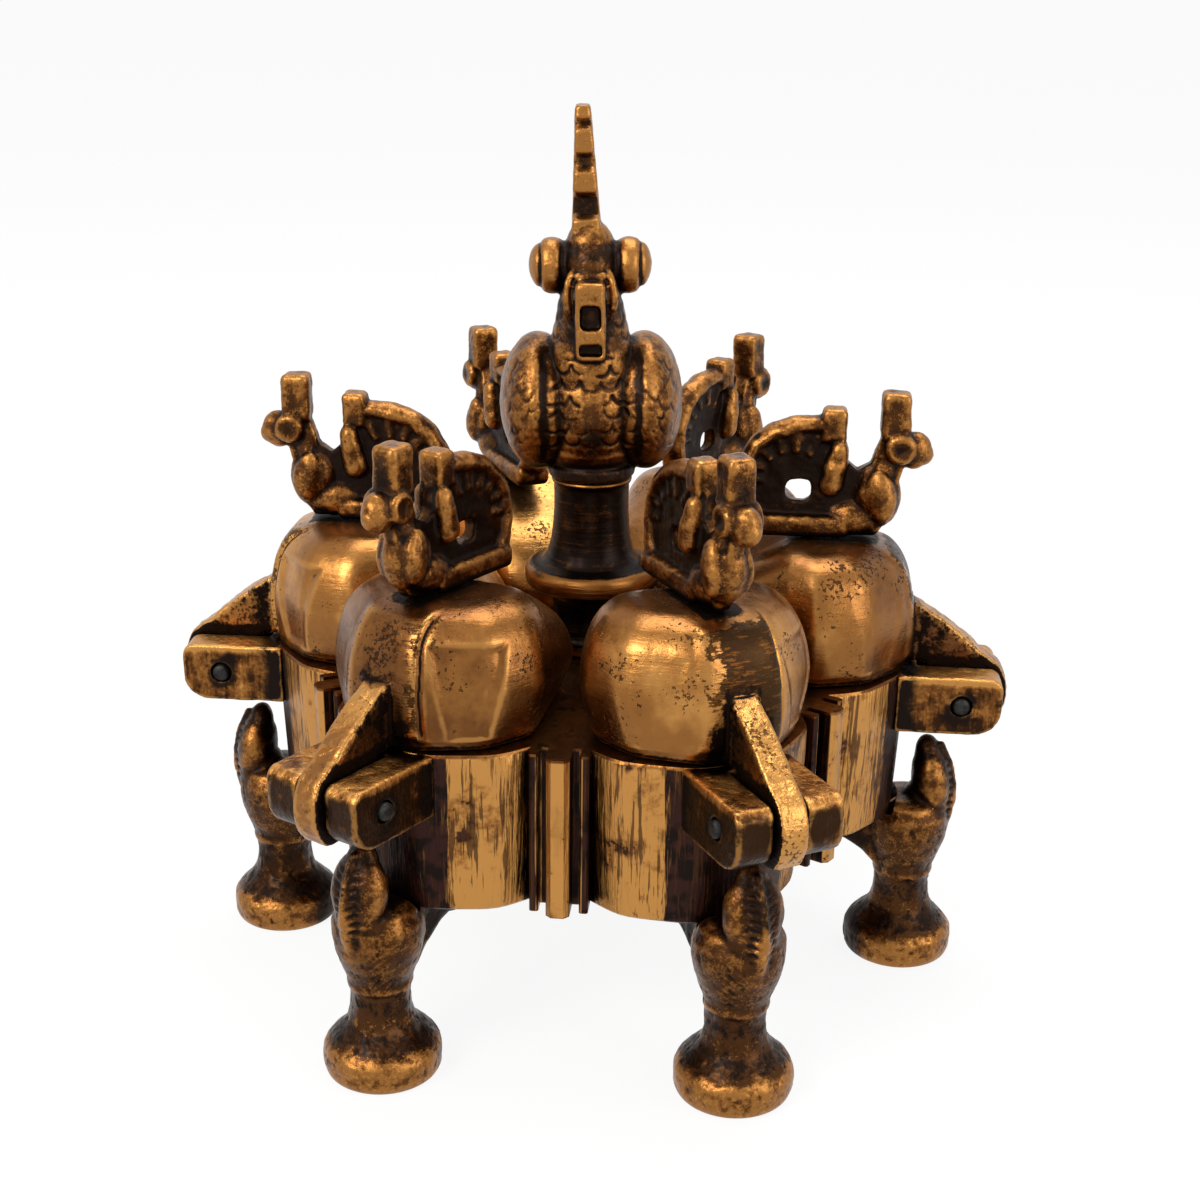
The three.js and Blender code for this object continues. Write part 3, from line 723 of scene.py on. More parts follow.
@cache
def streaked_brass():
    """The hinge forks: brown, streaked by the file, with gold edges, dark patina round the pin, darker near
    the wall and low down, painted shade in the slot and painted light on the top face
    """
    tone = colours()
    finish = Finish("Streaked brass")
    x, y, z = finish.axes()
    reach = (x * x + y * y) ** 0.5
    cloud, mottle = finish.noise(110, 3, 0.6), finish.noise(300, 4, 0.65)
    speck, streaks = finish.noise(1400, 3, 0.6), finish.noise((700, 700, 130), 4, 0.65)
    upper = z.rise(0.0572, 0.0584)
    # Painted light on the top face; the share also grows towards +y and with the file streaks
    rubbed_and_lit = streaks * 0.9 + cloud + mottle * 0.9 + y * 5.6 - x * 0.6 + upper * 0.52 + 0.12
    near = 1 - (reach + mottle * 0.004).rise(0.0582, 0.0612)
    low = 1 - (z + mottle * 0.006).rise(0.0478, 0.0505)
    out, up = reach - 0.0675, z - 0.0538
    away = (out * out + up * up) ** 0.5
    round_pin = 1 - (away + (mottle + cloud) * 0.006).rise(0.0022, 0.0034)
    # Painted shade in the slot beside the lid's arm
    beside = abs(reach * finish.maths("SINE", petal_turn(finish, x, y) * STEP))
    slot = 1 - beside.rise(0.0031, 0.0035)
    dark = near.most(low * 0.5, round_pin * (1 - upper) * 0.92, slot * 0.85)
    edge = finish.attributes("ridge")[0].rise(0.62, 0.84) * (0.5 + upper * 0.5)
    edge = edge * (mottle + speck * 0.5).rise(-0.16, 0.06) * (1 - round_pin * 0.9)
    colour = layered(
        rubbed_and_lit.rise(-0.1, 0.1).blend(darker(tone.brown, 0.5), tone.umber),
        ((rubbed_and_lit + speck * 0.5).rise(0.04, 0.24), tone.honey),
        ((rubbed_and_lit + speck * 0.6).rise(0.24, 0.42) * 0.85, tone.gold), (dark, tone.soot), (edge, tone.gold),
    )
    height = streaks * 0.8 + mottle * 0.9 + speck * 0.25
    return finish.metal(colour, 0.36 + mottle * 0.3, height, 0.0003, 0.06)


@cache
def turned_brass():
    """The pedestal and rivets: nearly black, with faint turning lines and a rubbed rim"""
    tone = colours()
    finish = Finish("Turned brass")
    mottle, lines = finish.noise(420, 4, 0.65), finish.noise((60, 60, 1500), 3, 0.6)
    base = (lines + mottle * 1.2).rise(0.02, 0.3).blend(darker(tone.soot, 0.85), darker(tone.brown, 0.7))
    rim = (finish.attributes("swell")[0] + mottle * 0.7 + lines * 0.3).rise(0.72, 0.95)
    colour = (rim * 0.85).blend(base, tone.honey)
    return finish.metal(colour, 0.38 + lines * 0.3, lines + mottle * 0.5, 0.00014, 0.05)


@cache
def dull_steel():
    """Grey steel of the hinge pins, stud, washer and nut"""
    tone = colours()
    finish = Finish("Dull steel")
    mottle, speck = finish.noise(600, 4, 0.6), finish.noise(2200, 3, 0.6)
    colour = mottle.rise(-0.1, 0.2).blend(tone.steel, darker(tone.steel, 0.35))
    return finish.metal(colour, 0.545 + speck * 0.25, mottle + speck * 0.4, 0.00008)


# Tray

def strip_plan(half, far, cut, middle=0.0):
    """Plan of a strip that runs out from the hub, with its outer corners cut off"""
    return [
        (16, middle - half), (far - cut, middle - half), (far, middle - half + cut),
        (far, middle + half - cut), (far - cut, middle + half), (16, middle + half),
    ]


def tray_mesh():
    size = sizes()
    floor, rim = size.floor / MM, size.rim / MM
    lobe, wall = size.lobe_radius / MM, size.cup_wall / MM
    steps = size.smooth_sides
    lobes = petal_solid([
        (0, floor), (0.93, floor), (0.948, floor + 0.4), (0.957, floor + 1.6), (0.972, floor + 7),
        (0.99, rim - 11), (1, rim - 4), (1, rim - 0.5), (0.985, rim), (0, rim),
    ], petal_bounds(lobe, 0, 7.4), steps, 26)
    adders = turned_copies(lobes)
    for plan in (
        strip_plan(1.95, 52, 0.9), strip_plan(0.75, 49.9, 0.3, -4.1), strip_plan(0.75, 49.9, 0.3, 4.1),
        [(16, -4.1), (46.9, -4.1), (46.9, 4.1), (16, 4.1)],
    ):
        adders += turned_copies(made(prism, plan, floor, rim), 0.5)
    body = combined(drum(22, floor, rim, steps), "UNION", adders)
    cup = petal_solid([
        (0, floor + 3), (0.8, floor + 3), (0.93, floor + 3.8), (1, floor + 6), (1, rim + 1), (0, rim + 1),
    ], petal_bounds(lobe - wall, 9, 19.5, 5), steps)
    rivet_hole = drum(1.9, floor - 1, floor + 4, 20, LEG_RIVET)
    hollow = drum(7.4, floor - 1, rim - 5, 40)
    stud_hole = drum(2.5, floor, rim + 1, 24)
    cutters = [*turned_copies(cup), *turned_copies(rivet_hole), hollow, stud_hole]
    return combined(body, "DIFFERENCE", cutters)


def note_edges(mesh, width):
    """Notes the faces narrower than this, but not slivers on the flat deck"""
    narrow = []
    for face in mesh.polygons:
        sides = [(mesh.vertices[a].co - mesh.vertices[b].co).length for a, b in face.edge_keys]
        sliver = face.area / max(*sides, 1e-6) < width
        narrow.append(1.0 if sliver and abs(face.normal.z) < 0.95 else 0.0)
    note(mesh, "edge", np.array(narrow), domain="FACE")


def arc(centre, radius, start, end, count=8):
    angles = np.radians(np.linspace(start, end, count))
    return [(centre[0] + radius * math.cos(a), centre[1] + radius * math.sin(a)) for a in angles]


class SINDOOR_OT_tray(bpy.types.Operator):
    """Make the tray: lobed wall, pilasters and cups"""

    bl_idname = "sindoor.tray"
    bl_label = "Tray"

    def execute(self, context):
        mesh = tray_mesh()
        note_edges(mesh, width=0.36)
        placed(mesh, "tray_cast", "box", filed_brass, "tray")
        mesh.set_sharp_from_angle(angle=math.radians(32))
        return {"FINISHED"}


# Hinge forks

def fork_mesh():
    rim = sizes().rim / MM
    low, far = rim - 10.6, 74
    fork = made(plate, [
        (55.4, low), *arc((far - 4.6, low + 4.6), 4.6, -90, 0),
        *arc((far - 2.2, rim - 2.2), 2.2, 0, 90, 6), (55.4, rim),
    ], 18.6)
    slot = made(bar, (59.2, -3, 46), (76, 3, 61), 0.05)
    pin_hole = made(barrel, HINGE, 1.8, 11, 0.1)
    mesh = fused(eased(combined(fork, "DIFFERENCE", [slot, pin_hole]), 1.05), FORK_GRAIN, 8)
    points, normals, x, y, z = skin_of(mesh)
    away = smooth(2.2, 3.2, np.hypot(x - HINGE[0], z - HINGE[1]))
    points += normals * (0.12 * uneven(points, 3.5) * away)[:, None]
    settle(mesh, points, high=rim + 0.05)
    return mesh


class SINDOOR_OT_forks(bpy.types.Operator):
    """Make the six hinge forks on the wall"""

    bl_idname = "sindoor.forks"
    bl_label = "Hinge forks"

    def execute(self, context):
        copied_round(
            fork_mesh(), "fork_brazed_{}", "box", "rubbed_brass", streaked_brass, "hinge_fork_{}"
        )
        return {"FINISHED"}


# Lids

def lid_warp(mesh):
    """The top falls towards the middle of the box and the inner foot draws in, as on the solids"""
    middle, crown = sizes().petal_centre / MM, sizes().lid_height / MM
    points = points_of(mesh)
    x = points[:, 0]
    up = points[:, 2] - LID_SEAT
    inward = np.maximum(0, 35 - x) / (35 - 14.5)
    kept = 1 - inward * (1 - 12 / crown)
    pinch = 1 - 0.12 * np.maximum(0, 1 - np.maximum(0, up) / 10)
    points[:, 0] = np.where(x < middle, middle + (x - middle) * pinch, x)
    points[:, 1] *= pinch
    points[:, 2] = LID_SEAT + np.where(up > 0, up * kept, up)
    move_points(mesh, points)
    return mesh


def lid_mesh():
    size = sizes()
    lobe, crown, wall = size.lobe_radius / MM + 0.1, size.lid_height / MM, size.lid_wall / MM
    outer = [(0, 0), (0.985, 0), (0.985, 0.06), *rounded([
        (1.003, 0.085), (1.012, 0.2), (1.014, 0.32), (1.0, 0.48), (0.975, 0.62), (0.935, 0.74),
        (0.88, 0.84), (0.8, 0.92), (0.7, 0.97), (0.6, 1.0), (0.4, 1.0)], 2), (0, 1.0)]
    inner = [(0, -0.05), (1, -0.05), *rounded([
        (1, 0), (0.99, 0.3), (0.95, 0.52), (0.88, 0.72), (0.72, 0.92), (0.55, 1), (0.4, 1)], 2), (0, 1)]
    dome = lid_warp(petal_solid(
        [(share, LID_SEAT + up * crown) for share, up in outer],
        petal_bounds(lobe, 3.2, 14.5, 5), 72, 34))
    hollow = lid_warp(petal_solid(
        [(share, LID_SEAT + up * (crown - 3)) for share, up in inner],
        petal_bounds(lobe, 3.2, 14.5, 5, wall), 48))
    arm = made(plate, [
        (56.1, 59.3), (56.1, 71.2), (58.3, 70.4), (62, 68.2), (66, 65.4), (70, 61.9), (72.6, 60),
        *arc((67.2, 54.0), 8.4, 38, -43, 9), (71.7, 47.7), (63.9, 47.9), (60.7, 51.4), (60.7, 59.3),
    ], 5.0, 0.35)
    holes = [hollow, made(barrel, HINGE, 1.8, 4, 0.1), drum(1.6, 60, 84, 20, LID_RIVET)]
    whole = combined(combined(dome, "UNION", [arm]), "DIFFERENCE", holes)
    return dressed_lid(fused(whole, LID_GRAIN, 8))


def dressed_lid(mesh):
    """Raises the keel strip, flattens the side panels and notes where the grime and the painted shade sit
    """
    middle = sizes().petal_centre / MM
    points, normals, x, y, z = skin_of(mesh)
    beside, spread = np.abs(y), np.hypot(x - middle, y)
    outer = normals[:, 0] * (x - middle) + normals[:, 1] * y > 0
    outside = smooth(38, 46, x) * smooth(60.8, 62.2, z) * (normals[:, 0] > -0.2) * outer
    outside *= (z > 60) & (x < 57.6) & (spread > 11)
    up = between(60.5, 63, 79.5, 81.5, z)
    strip = 7.0 - 0.9 * smooth(70, 80, z) + 0.12 * uneven(points, 5)
    keel = fall(strip - 0.1, strip + 0.35, y) * fall(strip - 1.3, strip + 1.0, -y)
    groove = bump(y - strip - 0.5, 0.42)
    around = np.degrees(np.arctan2(beside, x - middle))
    inset = np.minimum.reduce([
        (around - 32 + 0.6 * (z - 62)) * 0.36, (52 - around + 0.7 * (z - 62)) * 0.36, z - 61.4, 77.2 - z,
    ])
    panel = smooth(-0.2, 1.7, inset) * (normals[:, 2] > -0.5) * outer * np.where(y > 0, 0.6, 0.15)
    shift = outside * up * (0.5 * keel - 0.3 * groove) - panel * (z > 60)
    shift += 0.08 * uneven(points, 7) * smooth(59.8, 61.5, z)
    arm = smooth(58.2, 59.5, x)
    side = arm * smooth(0.6, 0.9, np.abs(normals[:, 1]))
    shift += (0.2 * uneven(points, 3.2) + 0.08 * uneven(points, 1.1)) * arm * (1 - side)
    points += normals * (shift * (spread > 9))[:, None]
    settle(mesh, points)
    # Painted shade round the arm's root, under the bird, along the seam with the rim, inside the lid, on
    # the arm's sides and beside the arm, noted with the grime
    root = bump(x - 57, 2.8) * bump(np.maximum(0, beside - 2.6), 2.6 - 1.2 * smooth(66, 72, z))
    root *= fall(69, 76, z) * 0.8
    saddle = bump(np.maximum(0, beside - 3.2), 1.0) * smooth(80, 82, z) * between(24, 27, 50, 53, x)
    seam = fall(60.0, 60.9, z) * (x < 57.6) * outer * smooth(-0.8, -0.4, normals[:, 2])
    inside = fall(7.5, 11, np.hypot(x - middle, y)) * (z < 79)
    tucked = side * (0.5 + 0.5 * fall(59.8, 61.4, z) + 0.25 * fall(59, 64, x))
    tucked += 0.12 * arm * (1 - side)
    by_arm = bump(x - 57, 4) * bump(np.maximum(0, beside - 4.5), 2.4) * fall(64, 71, z) * (1 - arm)
    note_share(mesh, "grime_and_shade", root, saddle, seam * 0.8, inside * 0.5, tucked, by_arm * 0.85)
    # Painted shade: darker low down, at the crown and on the arm's sides, and painted light on the arm's
    # top; the rest of this share is tarnish
    low, crown = fall(59.5, 70, z), smooth(79, 82, z)
    note(mesh, "tarnish_and_shade", 0.39 + 0.2 * low * (1 - arm) - 0.75 * (arm - side) + 0.6 * side + 0.2 * crown)
    near_edge = smooth(strip - 10.5, strip - 5.5, y) * (y < strip + 0.2)
    stain = outside * up * (0.5 * keel + 0.65 * near_edge) * (1 - 0.25 * low)
    # The film's shares on the arm's sides and under the bird are painted shade; along the keel it is a
    # stain
    note_share(mesh, "film", stain, 0.3 * side, 0.4 * saddle)
    return mesh


class SINDOOR_OT_lids(bpy.types.Operator):
    """Make the six domed lids with their hinge arms"""

    bl_idname = "sindoor.lids"
    bl_label = "Lids"

    def execute(self, context):
        copied_round(lid_mesh(), "lid_cast_{}", "lid_{}_body", "rubbed_brass", rubbed_brass, "lid_{}")
        return {"FINISHED"}


# Peacocks on the lids

def small_peacock_mesh():
    shape = bmesh.new()
    seat, eye = BIRD_SEAT, (53.5, 98.1)
    bar(shape, (26.2, -3.3, seat - 0.4), (45.5, 3.3, seat + 3.6), 1.2)
    blob(shape, (46.2, 0, 85.4), (5.2, 3.3, 3.4))
    web = made(plate, [
        (28, seat), (26.4, 86.5), (25.8, 90.5), (26.4, 94.8), (28.6, 98.4), (31.8, 100.4), (36, 101.3),
        (43.6, 101.3), (44.2, 95.6), (46.4, 93.8), (48.6, 95.2), (50.2, 100), (54.4, 100), (54.4, 95),
        (53.4, 92), (52.6, 86.5), (50, seat),
    ], 2.7)
    hole = made(bar, (34.2, -3, 88.1), (38.6, 3, 91.9), 1.2)
    shape.from_mesh(combined(web, "DIFFERENCE", [hole]))
    ridge(shape, [
        (43.0, 0, 101.2, 1.4), (39.0, 0, 101.6, 1.55), (35.2, 0, 101.2, 1.65), (31.6, 0, 99.9, 1.7),
        (28.8, 0, 97.6, 1.7), (26.9, 0, 94.4, 1.7), (26.2, 0, 90.6, 1.7), (26.8, 0, 87.0, 1.8),
        (28.4, 0, 84.4, 1.9),
    ], 1.45)
    bar(shape, (49.9, -2.5, 99.4), (54.9, 2.5, 107.6), 0.95)
    bar(shape, (39.8, -2.3, 98.6), (44.2, 2.3, 104.5), 0.9)
    ridge(shape, [(52.4, 0, 99.5, 2.3), (51.2, 0, 95.5, 2.3), (50.6, 0, 92.5, 2.6)])
    blob(shape, (49.9, 0, 89.2), (4.3, 3.6, 5.6), (0, -0.15, 0))
    twins(shape, (50.6, 2.6, 89.6), (2.6, 1.7, 4.6), (0, -0.16, 0.1))
    for side in (-1.9, 1.9):
        ridge(shape, [(43.0, side, 97.4, 1.7), (42.4, side, 94.0, 2.0), (42.0, side, 91.6, 2.1)], fine=16)
    blob(shape, (53.0, 0, 97.9), (3.0, 2.6, 3.2))
    barrel(shape, eye, 2.6, 3.5, 0.6, 24)
    blob(shape, (55.9, 0, 97.4), (2.9, 2.5, 3.3), (0, 0.2, 0))
    blob(shape, (57.6, 0, 96.8), (1.6, 1.5, 1.9))
    for angle in range(62, 190, 25):
        turn = math.radians(angle)
        x, z = 35.4 + 7.2 * math.cos(turn), 92.4 + 6.2 * math.sin(turn)
        bar(shape, (x - 2.0, -1.75, z - 0.75), (x + 2.0, 1.75, z + 0.75), 0.4, (0, -turn, 0))
    mesh = fused(mesh_of(shape), BIRD_GRAIN, 8)
    points, normals, x, y, z = skin_of(mesh)
    dent = bump(np.hypot(x - eye[0], z - eye[1]), 1.5) * smooth(2.4, 3.2, np.abs(y))
    points[:, 1] -= 0.35 * np.sign(y) * dent
    chance = 0.15 * uneven(points, 2.6) + 0.2 * uneven(points, 5.5, 2)
    points += normals * (chance * smooth(seat, seat + 1, z))[:, None]
    settle(mesh, points, seat)
    # Painted shade in the recess, under the bird and in the eye's dent, noted with the grime
    recess = bump(np.abs(y) - 1.2, 0.6) * fall(99, 101, z) * smooth(27, 29, x) * (x < 49)
    under = fall(seat + 0.4, seat + 1.6, z)
    stalk = bump(y, 2.2) * bump(z - 102.5, 2.6) * smooth(53.5, 54.6, x)
    note_share(mesh, "grime_and_shade", recess * 0.9, under, dent * 0.55, stalk * 0.7)
    # Painted highlight on the upturned faces high on the bird
    note(mesh, "rubbed_and_lit", 0.5 * smooth(0.6, 1.0, normals[:, 2]) * smooth(97, 103, z))
    return mesh


class SINDOOR_OT_lid_peacocks(bpy.types.Operator):
    """Make the small peacocks that stand on the lids"""

    bl_idname = "sindoor.lid_peacocks"
    bl_label = "Lid peacocks"

    def execute(self, context):
        copied_round(
            small_peacock_mesh(), "lid_peacock_{}", "lid_{}_body", "patina_brass", patina_brass,
            "lid_bird_{}",
        )
        return {"FINISHED"}


# Legs

def leg_mesh():
    size = sizes()
    reach = size.leg_reach / MM
    top = (size.floor - size.fit) / MM
    shape = bmesh.new()
    turned(shape, [
        (0, 0), (8.9, 0), (9.6, 0.5), (10.05, 1.6), (10.15, 3.6), (9.95, 5.1), (9.4, 6.1), (8.2, 7.3),
        (6.7, 8.7), (5.8, 10.2), (5.4, 12), (5.25, 14), (5.2, 16.2), (5.6, 17.0), (5.65, 17.7), (5.5, 18.2),
        (5.9, 19.4), (6.7, 21.6), (7.4, 24), (7.8, 26.6), (7.7, 29), (6.6, 31.4), (5.0, 32.4), (0, 32.8),
    ], 48, reach)
    plate(shape, [
        (37, top), (37, top - 5.6), (45.4, top - 5.6), (48.4, top - 6.6), (51.6, top - 8.8),
        (54.5, top - 12), (58, top - 13), (60, top - 6), (60, top),
    ], 8.6, 1.4)
    blob(shape, (63.7, 0, 35.4), (3.7, 5.3, 7.2), (0, -0.14, 0), 36)
    blob(shape, (62.9, 0, 39.8), (2.5, 3.1, 4.4), (0, -0.18, 0), 28)
    blob(shape, (63.0, 0, 30.8), (4.5, 5.0, 4.8), fine=28)
    ridge(shape, [
        (66.2, 0, 34.0, 1.7), (66.8, 0, 31, 1.7), (66.9, 0, 28.4, 1.2), (66.8, 0, 26.6, 0.7),
    ], 1.2)
    ridge(shape, [(65.0, 0, 42.4, 0.7), (66.6, 0, 39, 0.8), (67.7, 0, 35, 0.8), (67.9, 0, 31, 0.8)])
    mesh = fused(mesh_of(shape), LEG_GRAIN, 4)
    points, normals, x, y, z = skin_of(mesh)
    beside = np.abs(y)
    around = np.arctan2(y, x - reach)
    teeth = bump(beside - 1.7, 0.9) * smooth(65, 66, x) * smooth(28, 30, z) * np.sin(z * 4.2 - beside) * 0.2
    gap = -0.3 * bump(beside - 1.9, 0.6) * smooth(65, 66.4, x) * bump(z - 35, 5)
    hatch = bump(beside - 4.4, 1.8) * smooth(61.5, 63.5, x) * between(17, 19, 27, 30, z)
    hatch *= np.sin((z - beside) * 5) * 0.04
    facets = -0.3 * np.abs(np.sin(around * 3.5 + 0.4)) * bump(z - 13.5, 3)
    chips = -0.14 * smooth(0.4, 0.6, uneven(points, 1.7)) * between(0.5, 2, 28, 32, z)
    waves = 0.16 * uneven(points, 3.2) * smooth(0.5, 2, z)
    points += normals * (teeth + gap + hatch + facets + chips + waves)[:, None]
    fitted_under_tray(points, top)
    settle(mesh, points, 0)
    # Noted with the grime: painted shade where the leg tucks under the tray and in the narrow neck, and
    # darkening at shoulder, waist and head
    shoulder, waist = between(6.0, 7.4, 9, 12, z), between(17.5, 19.5, 29, 33, z)
    head = smooth(31, 35, z) * (1 - 0.8 * bump(np.abs(y) - 4.6, 1.2)) * 0.66
    neck = bump(z - 14, 3.2) * 0.58
    tucked = fall(50, 56, x) * 0.9
    note_share(mesh, "grime_and_shade", shoulder * 0.6, head, waist * 0.42, neck, tucked)
    foot = fall(5.4, 6.4, z) * 0.6
    comb = bump(y, 1.1) * smooth(66.2, 67.4, x) * 1.2
    note(mesh, "rubbed_and_lit", waist * 0.35, foot, comb)
    return mesh


def fitted_under_tray(points, top):
    """Keeps a leg clear of the tray's floor and wall, which it meets face to face"""
    middle, clear = sizes().petal_centre / MM, sizes().lobe_radius / MM + 0.35
    x, y, z = points.T
    away = np.hypot(x - middle, y)
    above, inside = z - top, clear - away
    within = (above > 0) & (inside > 0)
    lower = within & (above <= inside)
    push = within & ~lower
    grow = clear / np.maximum(away[push], 1e-6)
    points[lower, 2] = top
    points[push, 0] = middle + (x[push] - middle) * grow
    points[push, 1] = y[push] * grow


class SINDOOR_OT_legs(bpy.types.Operator):
    """Make the six bird legs"""

    bl_idname = "sindoor.legs"
    bl_label = "Legs"

    def execute(self, context):
        copied_round(leg_mesh(), "leg_cast_{}", "box", "patina_brass", patina_brass, "leg_{}")
        return {"FINISHED"}


# Handle

def scale_marks(across, up, pitch, rise):
    """Depth of engraved rows of U-shaped scales, 1 in the line and 0 away from it"""
    deepest = np.zeros_like(across)
    row_at = np.floor(up / rise)
    for step in (-1, 0, 1, 2):
        row = row_at + step
        offset = np.where(row % 2 == 0, 0, pitch / 2)
        column = np.round((across - offset) / pitch)
        chance = np.abs(np.sin(row * 12.9 + column * 78.2) * 43.7) % 1
        dx = across - offset - column * pitch + (chance - 0.5) * 0.35
        dz = up - row * rise + (chance * 7 % 1 - 0.5) * 0.4
        round_edge = np.hypot(dx, dz * 0.85) - pitch * (0.46 + 0.08 * chance)
        depth = 0.35 + 0.65 * (chance * 3 % 1)
        deepest = np.maximum(deepest, depth * bump(round_edge, 0.23) * (dz < 0.15) * (dz > -pitch))
    return deepest


def large_peacock_mesh():
    shape = bmesh.new()
    seat = PEACOCK_SEAT
    foot = [
        (0, 0), (7.2, 0), (7.6, 0.3), (7.6, 2.0), (7.0, 2.5), (7.5, 3.2), (8.6, 5), (9, 9), (0, 11),
    ]
    turned(shape, [(radius, seat + height) for radius, height in foot], 48)
    blob(shape, (0.6, 0, 104.2), (10.4, 8.9, 12.2), fine=36)
    blob(shape, (2.2, 0, 110.5), (7.9, 7.7, 10), fine=36)
    ridge(shape, [(1.6, 0, 114, 7.1), (2.0, 0, 119, 6.0), (2.2, 0, 123, 5.2), (2.2, 0, 127, 4.7)], fine=28)
    twins(shape, (-0.8, 9.2, 104.3), (11.9, 6.7, 11.9), fine=40)
    blob(shape, (2.3, 0, 128.2), (6.4, 4.8, 5.4), fine=28)
    blob(shape, (2.2, 0, 131.2), (4.8, 4.1, 4.2), fine=24)
    twins(shape, (1.9, 6.3, 127.9), (4.5, 4.1, 4.7), (-0.12, 0, 0), fine=36)
    beak(shape)
    for side in (-1, 1):
        ridge(shape, [
            (7.4, side * 3.1, 127.4, 0.6), (8.2, side * 3.9, 125.8, 0.8), (8.4, side * 4.1, 123.8, 0.9),
            (8.0, side * 3.8, 121.8, 0.8), (7.2, side * 3.1, 120.2, 0.55),
        ])
    bar(shape, (5, -2.7, 126.7), (9.0, 2.7, 127.6), 0.4)
    crest = bmesh.new()
    plate(crest, [
        (-1.4, 131), (5.0, 132.2), (5.0, 135.6), (3.2, 136.4), (3.2, 139.2), (4.9, 140.2), (4.9, 143.3),
        (3.3, 144), (3.3, 145.8), (4.4, 146.3), (4.4, 149.9), (3.2, 150.5), (3.2, 151.2), (4.0, 151.7),
        (3.6, 153.6), (0.2, 153.8), (-0.6, 148), (-1.2, 142),
    ], 2.0, 0.35)
    for point in crest.verts:
        share = (point.co.z - 132) / 22
        half = 2.55 - 1.3 * share
        point.co.y = point.co.y * half - 0.55 - 0.5 * share
    shape.from_mesh(mesh_of(crest))
    large_tail(shape)
    mesh = dressed_peacock(fused(mesh_of(shape), sizes().grain, 4))
    up = Matrix.Translation((0, 0, seat))
    mesh.transform(up @ Matrix.Rotation(sizes().handle_lean, 4, "X") @ up.inverted())
    points = points_of(mesh)
    points[:, 2] = np.maximum(points[:, 2], seat)
    move_points(mesh, points)
    mesh.transform(Matrix.Rotation(sizes().handle_turn, 4, "Z"))
    return mesh


def beak(shape):
    """The beak: an upright block with a square eye hole and a notch under it"""
    block = made(bar, (4.5, -2.55, 113.4), (11.4, 2.55, 126.4), 0.8)
    eye = made(bar, (9.1, -1.75, 118.7), (12.5, 1.75, 122.7), 0.7)
    mouth = made(bar, (9.6, -1.9, 114.3), (12.5, 1.9, 116.2), 0.25)
    shape.from_mesh(combined(block, "DIFFERENCE", [eye, mouth]))


def large_tail(shape):
    """The arched tail behind, with its upright stub, as the small peacocks have"""
    seat = PEACOCK_SEAT
    plate(shape, [
        (-5, seat + 2), (-5, 117), (-9, 117.5), (-13.5, 115.2), (-17, 110), (-18.6, 103),
        (-18.4, 95.6), (-15.8, seat + 1), (-11, seat + 2.6),
    ], 3.6)
    ridge(shape, [
        (-7, 0, 117.2, 2.2), (-10.6, 0, 116.4, 2.2), (-14.2, 0, 113.4, 2.2), (-16.6, 0, 109, 2.2),
        (-17.7, 0, 103.6, 2.2), (-17.6, 0, 98, 2.2), (-16, 0, 94.6, 2.2),
    ], 1.15, 16)
    bar(shape, (-9.5, -2.6, 114), (-5.4, 2.6, 123.8), 0.8)


